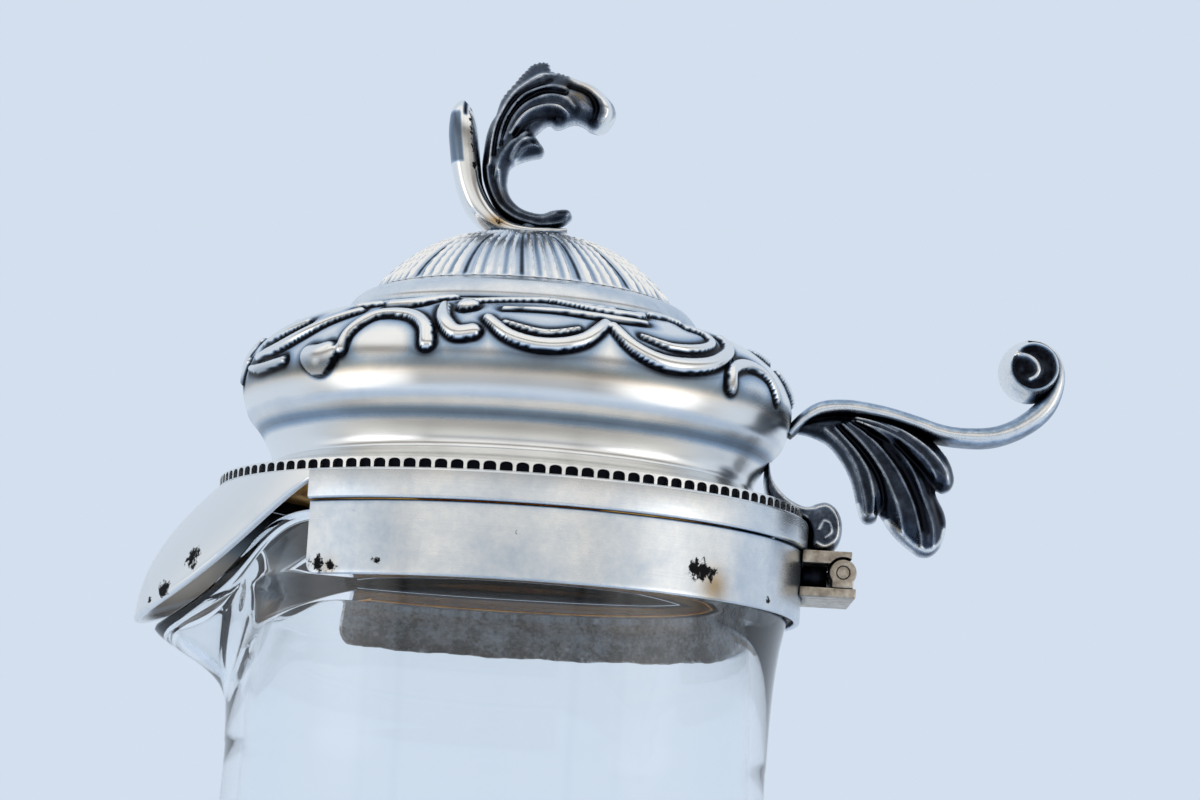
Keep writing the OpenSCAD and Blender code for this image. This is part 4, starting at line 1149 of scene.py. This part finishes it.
# Small scroll over the hinge: one band from the lid's waist down into a volute, painted dark as shade
scrollLook = {
    "outline": [
        (36.7, 9.6), (36.9, 7.6), (37.6, 5.9), (38.7, 4.6), (40.0, 3.6), (41.6, 2.9), (42.7, 2.9),
        (43.5, 3.3), (44.9, 3.6), (46.3, 2.9), (47.2, 1.5), (47.5, -0.3), (47.2, -2.1), (46.3, -3.4),
        (44.6, -4.0), (43.0, -3.7), (42.6, -2.7), (42.6, -1.1), (41.8, 0.3), (39.6, 1.2), (37.6, 2.2),
        (36.4, 3.7), (35.9, 5.7), (35.9, 8.0), (36.2, 9.6)],
    "strokes": [
        ([(36.8, 8.8), (36.9, 6.6), (37.7, 4.9), (39.2, 3.4), (41, 2.4), (43, 2.4), (45, 2.8), (46.3, 1.6),
          (46.8, -0.3), (46.4, -2.0), (45, -3), (43.8, -2.6)], 0.26, 0.3, -0.5),
        ([(43.9, -0.6), (44.6, 0.6), (45.6, 0.2), (45.7, -1), (44.9, -1.8)], 0.22, 0.3, -0.4),
        ([(38.3, 2.7), (40.4, 1.7), (42.2, 1)], 0.2, 0.2, -0.3)],
    "widthBy": 0, "halfWidth": [(36, 3.2), (42, 3.5), (47, 3.4)],
    "round": 0.9, "dark": 0.62, "edgeBright": 0.5, "gap": 0.16}
finishPiece(reliefPlate("hingeScroll", scrollLook), "lid", "oxidised_silver", darkOxideAndShadeSilver,
            "hinge_scroll")


thumbLeaf = {
    "outline": [
        (39.0, 13.4), (40.3, 15.0), (42.2, 16.0), (44.5, 16.5), (47.5, 16.6), (50.6, 16.4), (53.2, 16.0),
        (55.8, 15.2), (58.4, 14.2), (60.1, 13.2), (61.2, 12.1), (62.2, 10.9), (62.9, 9.4), (63.2, 7.8),
        (62.7, 6.5), (61.6, 5.9), (60.6, 6.2), (61.0, 5.0), (61.8, 3.6), (62.3, 2.0), (62.2, 0.0),
        (61.5, -2.0), (60.2, -3.3), (58.7, -3.4), (57.4, -2.6), (56.0, -1.6), (54.8, -0.5), (53.7, 0.8),
        (52.9, 2.0), (52.5, 2.3), (52.2, 1.3), (51.1, 0.8), (50.1, 1.4), (49.4, 3.2), (48.9, 5.2),
        (48.0, 7.7), (46.6, 9.9), (45.0, 11.7), (43.1, 12.7), (41.1, 13.2)],
    "strokes": [
        ([(48.6, 16.0), (52.2, 15.3), (55.4, 14.1), (58.0, 12.5), (60.2, 10.8), (61.7, 9.0), (62.2, 7.2)],
         0.34, 0.5, -0.5),
        ([(48.1, 15.3), (51.8, 14.2), (54.9, 12.7), (57.5, 11.0), (59.1, 9.5), (60.2, 7.8)],
         0.26, 0.35, -0.35),
        ([(50.5, 13.6), (54.0, 12.0), (57.4, 9.4), (59.4, 7.3), (60.8, 6.0)], 0.5, -0.7, 0.2),
        ([(44.1, 13.9), (46.8, 11.5), (48.7, 8.5), (49.9, 5.0), (50.5, 2.2)], 0.3, 0.4, -0.42),
        ([(45.6, 14.0), (48.6, 10.8), (50.6, 7.6), (51.4, 4.3), (51.7, 2.0)], 0.26, 0.4, -0.45),
        ([(46.1, 14.3), (49.4, 11.1), (51.8, 7.6), (52.9, 4.4), (53.0, 2.4)], 0.4, -0.6, 0.25),
        ([(46.6, 14.6), (49.9, 11.4), (52.7, 7.7), (54.6, 3.7), (55.8, -0.3)], 0.3, 0.4, -0.4),
        ([(47.6, 14.9), (51.4, 12.0), (54.6, 8.1), (56.9, 3.9), (58.2, -0.2), (58.6, -2.4)],
         0.26, 0.4, -0.34),
        ([(48.2, 15.0), (52.1, 12.4), (55.5, 8.5), (57.8, 4.2), (59.0, 0.3)], 0.5, -0.5, 0.3),
        ([(48.6, 15.3), (52.9, 12.9), (56.4, 9.0), (58.6, 4.5), (60.0, 1.0), (60.4, -2.1)], 0.26, 0.35, -0.3),
        ([(54.4, 12.2), (57.8, 8.6), (59.8, 5.2), (61.2, 1.4)], 0.5, -0.4, 0.25),
        ([(41.5, 15.2), (44.5, 15.9), (48.1, 15.9), (51.7, 15.0), (54.3, 13.9)], 0.25, 0.3, -0.3),
        ([(53.7, 1.4), (55.5, -0.3), (57.6, -2.0), (59.7, -2.7), (61.4, -1.2), (61.9, 0.6)], 0.3, 0.4, -0.6),
        ([(49.5, 3.4), (50.4, 1.8), (51.8, 2.0)], 0.3, 0.3, -0.5)],
    "widthBy": 0, "halfWidth": [(39, 2.2), (42, 3.0), (48, 4.2), (55, 5.2), (60, 4.2), (63, 3.0)],
    "round": 3.4, "dark": 0.72, "edgeBright": 0.5, "gap": 0.17}
finishPiece(reliefPlate("thumbLeaf", thumbLeaf), "lid", "dark_leaf", darkOxideAndShadeSilver, "thumb_leaf")
print("lever made")


# Finial

# The strap is flat on its outside near the top, and dark there
finialStrap = {"line": [
    (5.6, 40.9, 0.3, 1.6), (3, 40.6, 0.55, 2.4), (0, 40.35, 0.8, 3.0), (-2.8, 40.5, 1.2, 3.5),
    (-5.4, 41.6, 1.6, 3.7), (-7.5, 43.7, 1.9, 3.9), (-8.8, 46.3, 1.95, 4), (-9.5, 49.2, 2.1, 4),
    (-9.95, 52.0, 2.15, 4), (-10.3, 54.8, 2.15, 3.8), (-10.6, 57.2, 1.75, 3.2), (-10.65, 58.5, 1.1, 2.2),
    (-10.6, 59.2, 0.4, 1.2)], "faceLow": 49.6, "faceHigh": 57.4, "faceDark": 0.5}


def strapOfFinial():
    g = finialStrap
    path = curveThrough([(x, z + rimZ, t, w) for x, z, t, w in g["line"]], 10)
    piece = sweep("finialStrap", path[:, :2], path[:, 2], path[:, 3], 60, 2.6)
    spot = np.array([v.co[:] for v in piece.data.vertices]) * 1000
    mid = np.interp(spot[:, 2], path[:, 1], path[:, 0])
    x, z = spot[:, 0], spot[:, 2] - rimZ
    face = smoothStep(mid - x, 0.1, 0.35) * smoothStep(z, g["faceLow"] - 0.3, g["faceLow"] + 0.3)
    face *= 1 - smoothStep(z, g["faceHigh"] - 0.6, g["faceHigh"] + 0.4)
    slot = bell(x, mid + 0.5, 0.3) * smoothStep(z, 56.2, 57)
    foot = bell(z, 41.2, 0.9) * bell(x, -4.5, 1.8)
    setValues(piece.data, {"patinaAndShade": np.maximum(face * g["faceDark"], slot), "stainAndShade": foot,
                           "spot": bell(x, mid + 1.2, 0.5) * smoothStep(z, 46, 49) * 0.6 + foot * 0.6})
    return piece


finishPiece(strapOfFinial(), "lid", "bright_silver", polishedSilver, "finial_strap")

finialLeaf = {
    "outline": [
        (-5.8, 57.3), (-5.3, 59.3), (-4.6, 60.6), (-3.4, 62.2), (-2.6, 63.4), (-1.7, 64.5), (-1.0, 65.3),
        (0.4, 65.8), (1.5, 65.6), (1.9, 64.5), (3.4, 64.2), (4.7, 63.8), (6.0, 63.3), (7.5, 62.9),
        (8.7, 62.3), (9.7, 61.5), (10.7, 60.5), (11.4, 59.6), (11.7, 58.4), (11.3, 57.1), (10.6, 56.2),
        (9.4, 55.7), (8.1, 55.9), (7.2, 56.5), (6.0, 56.9), (4.9, 56.6), (3.9, 56.1), (2.9, 56.0),
        (2.2, 56.5), (1.6, 56.3), (0.9, 55.6), (0.2, 54.8), (0.8, 53.8), (1.6, 52.7), (1.3, 51.7),
        (-0.4, 51.2), (-2.1, 50.5), (-3.1, 49.7), (-3.4, 48.4), (-3.4, 46.9), (-2.9, 45.5), (-1.8, 44.3),
        (-0.4, 43.6), (1.7, 43.3), (3.4, 43.9), (5.5, 44.1), (6.2, 43.2), (6.0, 42.4), (4.8, 41.5),
        (2.9, 41.0), (1.1, 41.0), (-1.1, 41.2), (-3.3, 42.1), (-5.0, 43.6), (-6.2, 45.7), (-7.0, 47.8),
        (-7.3, 49.9), (-7.2, 52.1), (-7.0, 54.2), (-6.5, 56.0)],
    "strokes": [
        ([(-6.2, 49.6), (-6.0, 53.0), (-5.5, 55.6), (-4.6, 57.8), (-3.1, 60.3), (-1.1, 62.1), (0.9, 63.4),
          (2.6, 63.7)], 0.3, 0.4, -0.45),
        ([(-5.6, 51), (-5.3, 54.2), (-4.4, 57), (-2.6, 59.7), (-0.4, 61.3), (2, 62.5)], 0.35, -0.45, 0.2),
        ([(-5.1, 51.8), (-4.6, 54.8), (-3.5, 57.5), (-1.8, 59.7), (0.2, 60.9), (2.3, 61.5), (4.2, 61.2)],
         0.28, 0.4, -0.36),
        ([(-4.7, 52.4), (-3.9, 55.6), (-2.6, 58), (-0.8, 59.6), (1.4, 60.6), (4.3, 60.4)], 0.35, -0.45, 0.2),
        ([(-4.3, 53.1), (-3.2, 56.2), (-1.7, 58.2), (0.3, 59.4), (2.4, 60.0), (4.5, 59.5), (5.5, 58.5)],
         0.3, 0.4, -0.34),
        ([(-3.3, 54.0), (-2.0, 56.3), (-0.4, 57.7), (1.7, 58.4), (3.4, 58.3), (4.7, 57.5)],
         0.28, 0.45, -0.45),
        ([(-2.6, 53.8), (-1.2, 55.7), (0.8, 56.9), (2.4, 57.2), (3.8, 57)], 0.45, -0.6, 0.2),
        ([(-3.1, 50.6), (-2.2, 52.4), (-1.0, 53.5), (0.7, 54.3)], 0.3, 0.45, -0.4),
        ([(-2.5, 50.6), (-1.3, 52.0), (0.8, 52.8)], 0.3, 0.4, -0.34),
        ([(-5.3, 47.9), (-4.8, 50.1), (-3.8, 51.9), (-2.6, 53.2), (-1.0, 54.4)], 0.28, 0.35, -0.3),
        ([(-6.6, 49.5), (-6.0, 46.6), (-4.6, 44.1), (-2.4, 42.5), (-0.3, 41.8), (2.3, 41.5), (4.8, 42.1),
          (5.7, 43.2)], 0.25, 0.2, -0.4),
        ([(-5.6, 49), (-5.2, 46.6), (-4, 44.4), (-2, 42.9), (1.4, 42.1)], 0.4, -0.4, 0.15),
        ([(-4.7, 48.8), (-4.5, 46.7), (-3.6, 44.6), (-1.6, 43.1), (1.4, 42.5), (3.8, 43.3)],
         0.26, 0.3, -0.34),
        ([(5.2, 63.2), (7.3, 62.2), (9.1, 60.8), (10.3, 59.2), (10.6, 57.5), (9.8, 56.3)], 0.7, 0.6, -0.75),
        ([(4.8, 61.6), (7.0, 60.9), (8.3, 59.7), (8.8, 58.2), (8.3, 56.9)], 0.45, -0.7, 0.25),
        ([(5, 60.4), (6.6, 59.6), (7.2, 58.2)], 0.7, 0.5, -0.35)],
    "stains": [(6.4, 60.4, 1.7, 0.9), (4.6, 61.6, 1.3, 0.6), (-4.2, 45, 1.2, 0.5)],
    "beads": (6, 44, 0.1),
    "widthBy": 1, "halfWidth": [(41, 2.0), (43, 2.6), (46, 3.0), (50, 3.8), (55, 4.8), (60, 4.6),
                                (65.8, 2.0)],
    "round": 2.6, "dark": 0.66, "edgeBright": 0.45, "gap": 0.16}
finishPiece(reliefPlate("finialLeaf", finialLeaf), "lid", "dark_leaf", darkOxideAndShadeSilver, "finial_leaf")
print("finial made")


# Floor, light and camera

studio = {
    "backdrop": "#D3DFEE", "floor": "#D3DFEE",
    # the room in front of the jug, by the sine of the height it is seen at
    "room": [(-1.0, "#8A8F96"), (-0.5, "#A0A3A7"), (-0.3, "#C2C4C7"), (-0.12, "#EAEBED"),
             (0.06, "#F7F8F8"), (0.24, "#E6E5E3"), (0.36, "#979390"), (0.47, "#8F8D8C"), (0.6, "#FFFFFF"),
             (1.0, "#FFFFFF")],
    "sides": [((-0.88, -0.4, -0.26), 0.9), ((0.86, -0.42, -0.26), 1.0)], "sideSpread": 0.055,
    # upright dark bars in that room: sideways over forwards, half width, how dark
    "bars": [(-0.86, 0.1, 0.5), (-1.5, 0.2, 0.25), (0.0, 0.2, 0.1), (0.62, 0.08, 0.5), (1.3, 0.16, 0.25)],
    "floorR": 500, "floorSides": 180, "floorRough": 0.9,
    # name, place, size and watts of each lamp
    "lamps": [("keyLight", (-500, -420, 520), 420, 0.7), ("fillLight", (560, -380, 420), 420, 0.4),
              ("topLight", (0, 60, 760), 520, 0.8)],
    "lampAim": (0, 0, 240),
    "aim": (11.8, 0, 248.6), "distance": 520.0, "lookUp": 8.7, "roll": 3.4, "frameMm": 172.6,
    "sensorMm": 36}


def studioFloor():
    around = np.linspace(0, 2 * np.pi, studio["floorSides"], endpoint=False)
    floor = makePiece("floor", ringPoints(studio["floorR"], -0.05, around), [list(range(len(around)))])
    material, tree, shader = newMaterial("paintedFloor")    # matt pale blue paint
    fill(tree, shader, {"Base Color": linear(studio["floor"]), "Roughness": studio["floorRough"]})
    floor.data.materials.append(material)


# The backdrop is seen straight, through the glass and by silver that faces it. In front the silver
# mirrors a cream room: darker floor, a grey gap under a bright ceiling, and a soft window each side.
def studioWorld():
    world = bpy.data.worlds.new("studio")
    bpy.context.scene.world = world
    world.use_nodes = True
    tree = world.node_tree
    tree.nodes.clear()
    way = addNode(tree, "ShaderNodeTexCoord").outputs["Generated"]
    x, y, z = split(tree, way)
    height = maths(tree, "MULTIPLY", maths(tree, "ADD", z, 1.0), 0.5)
    room = ramp(tree, height, [((level + 1) / 2, code) for level, code in studio["room"]])
    bright = 0.0
    for place, strength in studio["sides"]:
        aim = tuple(Vector(place).normalized())
        along = vectorMaths(tree, "DOT_PRODUCT", {0: way, 1: aim})["Value"]
        spread = studio["sideSpread"]
        glow = ranged(tree, along, (1 - 1.6 * spread, 1 - 0.3 * spread, 0.0, strength), "SMOOTHSTEP")
        bright = maths(tree, "ADD", glow, bright)
    lit = vectorMaths(tree, "ADD", {0: room, 1: bright})[0]
    ahead = maths(tree, "MAXIMUM", maths(tree, "MULTIPLY", y, -1.0), 0.02)
    aside = maths(tree, "DIVIDE", x, ahead)
    shade = 1.0
    for place, half, dark in studio["bars"]:
        off = maths(tree, "ABSOLUTE", maths(tree, "SUBTRACT", aside, place))
        bar = ranged(tree, off, (0.0, half, 1 - dark, 1.0), "SMOOTHSTEP")
        shade = maths(tree, "MULTIPLY", bar, shade)
    lit = vectorMaths(tree, "SCALE", {0: lit, "Scale": shade})[0]
    behind = ranged(tree, y, (-0.15, 0.35), "SMOOTHSTEP")
    ray = addNode(tree, "ShaderNodeLightPath").outputs
    straight = maths(tree, "MAXIMUM", ray["Is Camera Ray"], ray["Is Transmission Ray"])
    colour = mixed(tree, maths(tree, "MAXIMUM", straight, behind), lit, studio["backdrop"])
    light = addNode(tree, "ShaderNodeBackground", {"Strength": 1.0, "Color": colour})
    addNode(tree, "ShaderNodeOutputWorld", {0: light.outputs[0]})


def softLight(name, place, size, watts):
    lamp = bpy.data.lights.new(name, "AREA")
    lamp.shape = "RECTANGLE"
    lamp.size = lamp.size_y = size / 1000
    lamp.energy = watts
    holder = newObject(name, lamp)
    holder.visible_glossy = False       # silver and glass show the room, not hard-edged lamps
    holder.visible_transmission = False
    holder.location = Vector(place) / 1000
    way = Vector(studio["lampAim"]) - Vector(place)
    holder.rotation_euler = way.to_track_quat("-Z", "Y").to_euler()


def studioCamera():
    g = studio
    up, roll = math.radians(g["lookUp"]), math.radians(g["roll"])
    ahead = Vector((0, math.cos(up), math.sin(up)))
    level = Vector((1, 0, 0))
    upright = level.cross(ahead)
    right = math.cos(roll) * level + math.sin(roll) * upright
    top = -math.sin(roll) * level + math.cos(roll) * upright
    lens = bpy.data.cameras.new("camera")
    lens.sensor_width = g["sensorMm"]
    lens.lens = g["sensorMm"] * g["distance"] / g["frameMm"]
    lens.clip_start, lens.clip_end = 0.01, 20
    camera = newObject("camera", lens)
    place = (Vector(g["aim"]) - g["distance"] * ahead) / 1000
    camera.matrix_world = Matrix.Translation(place) @ Matrix((right, top, -ahead)).transposed().to_4x4()
    bpy.context.scene.camera = camera


studioFloor()
studioWorld()
for lampValues in studio["lamps"]:
    softLight(*lampValues)
studioCamera()
bpy.context.scene.view_settings.view_transform = "Standard"
print("studio made")
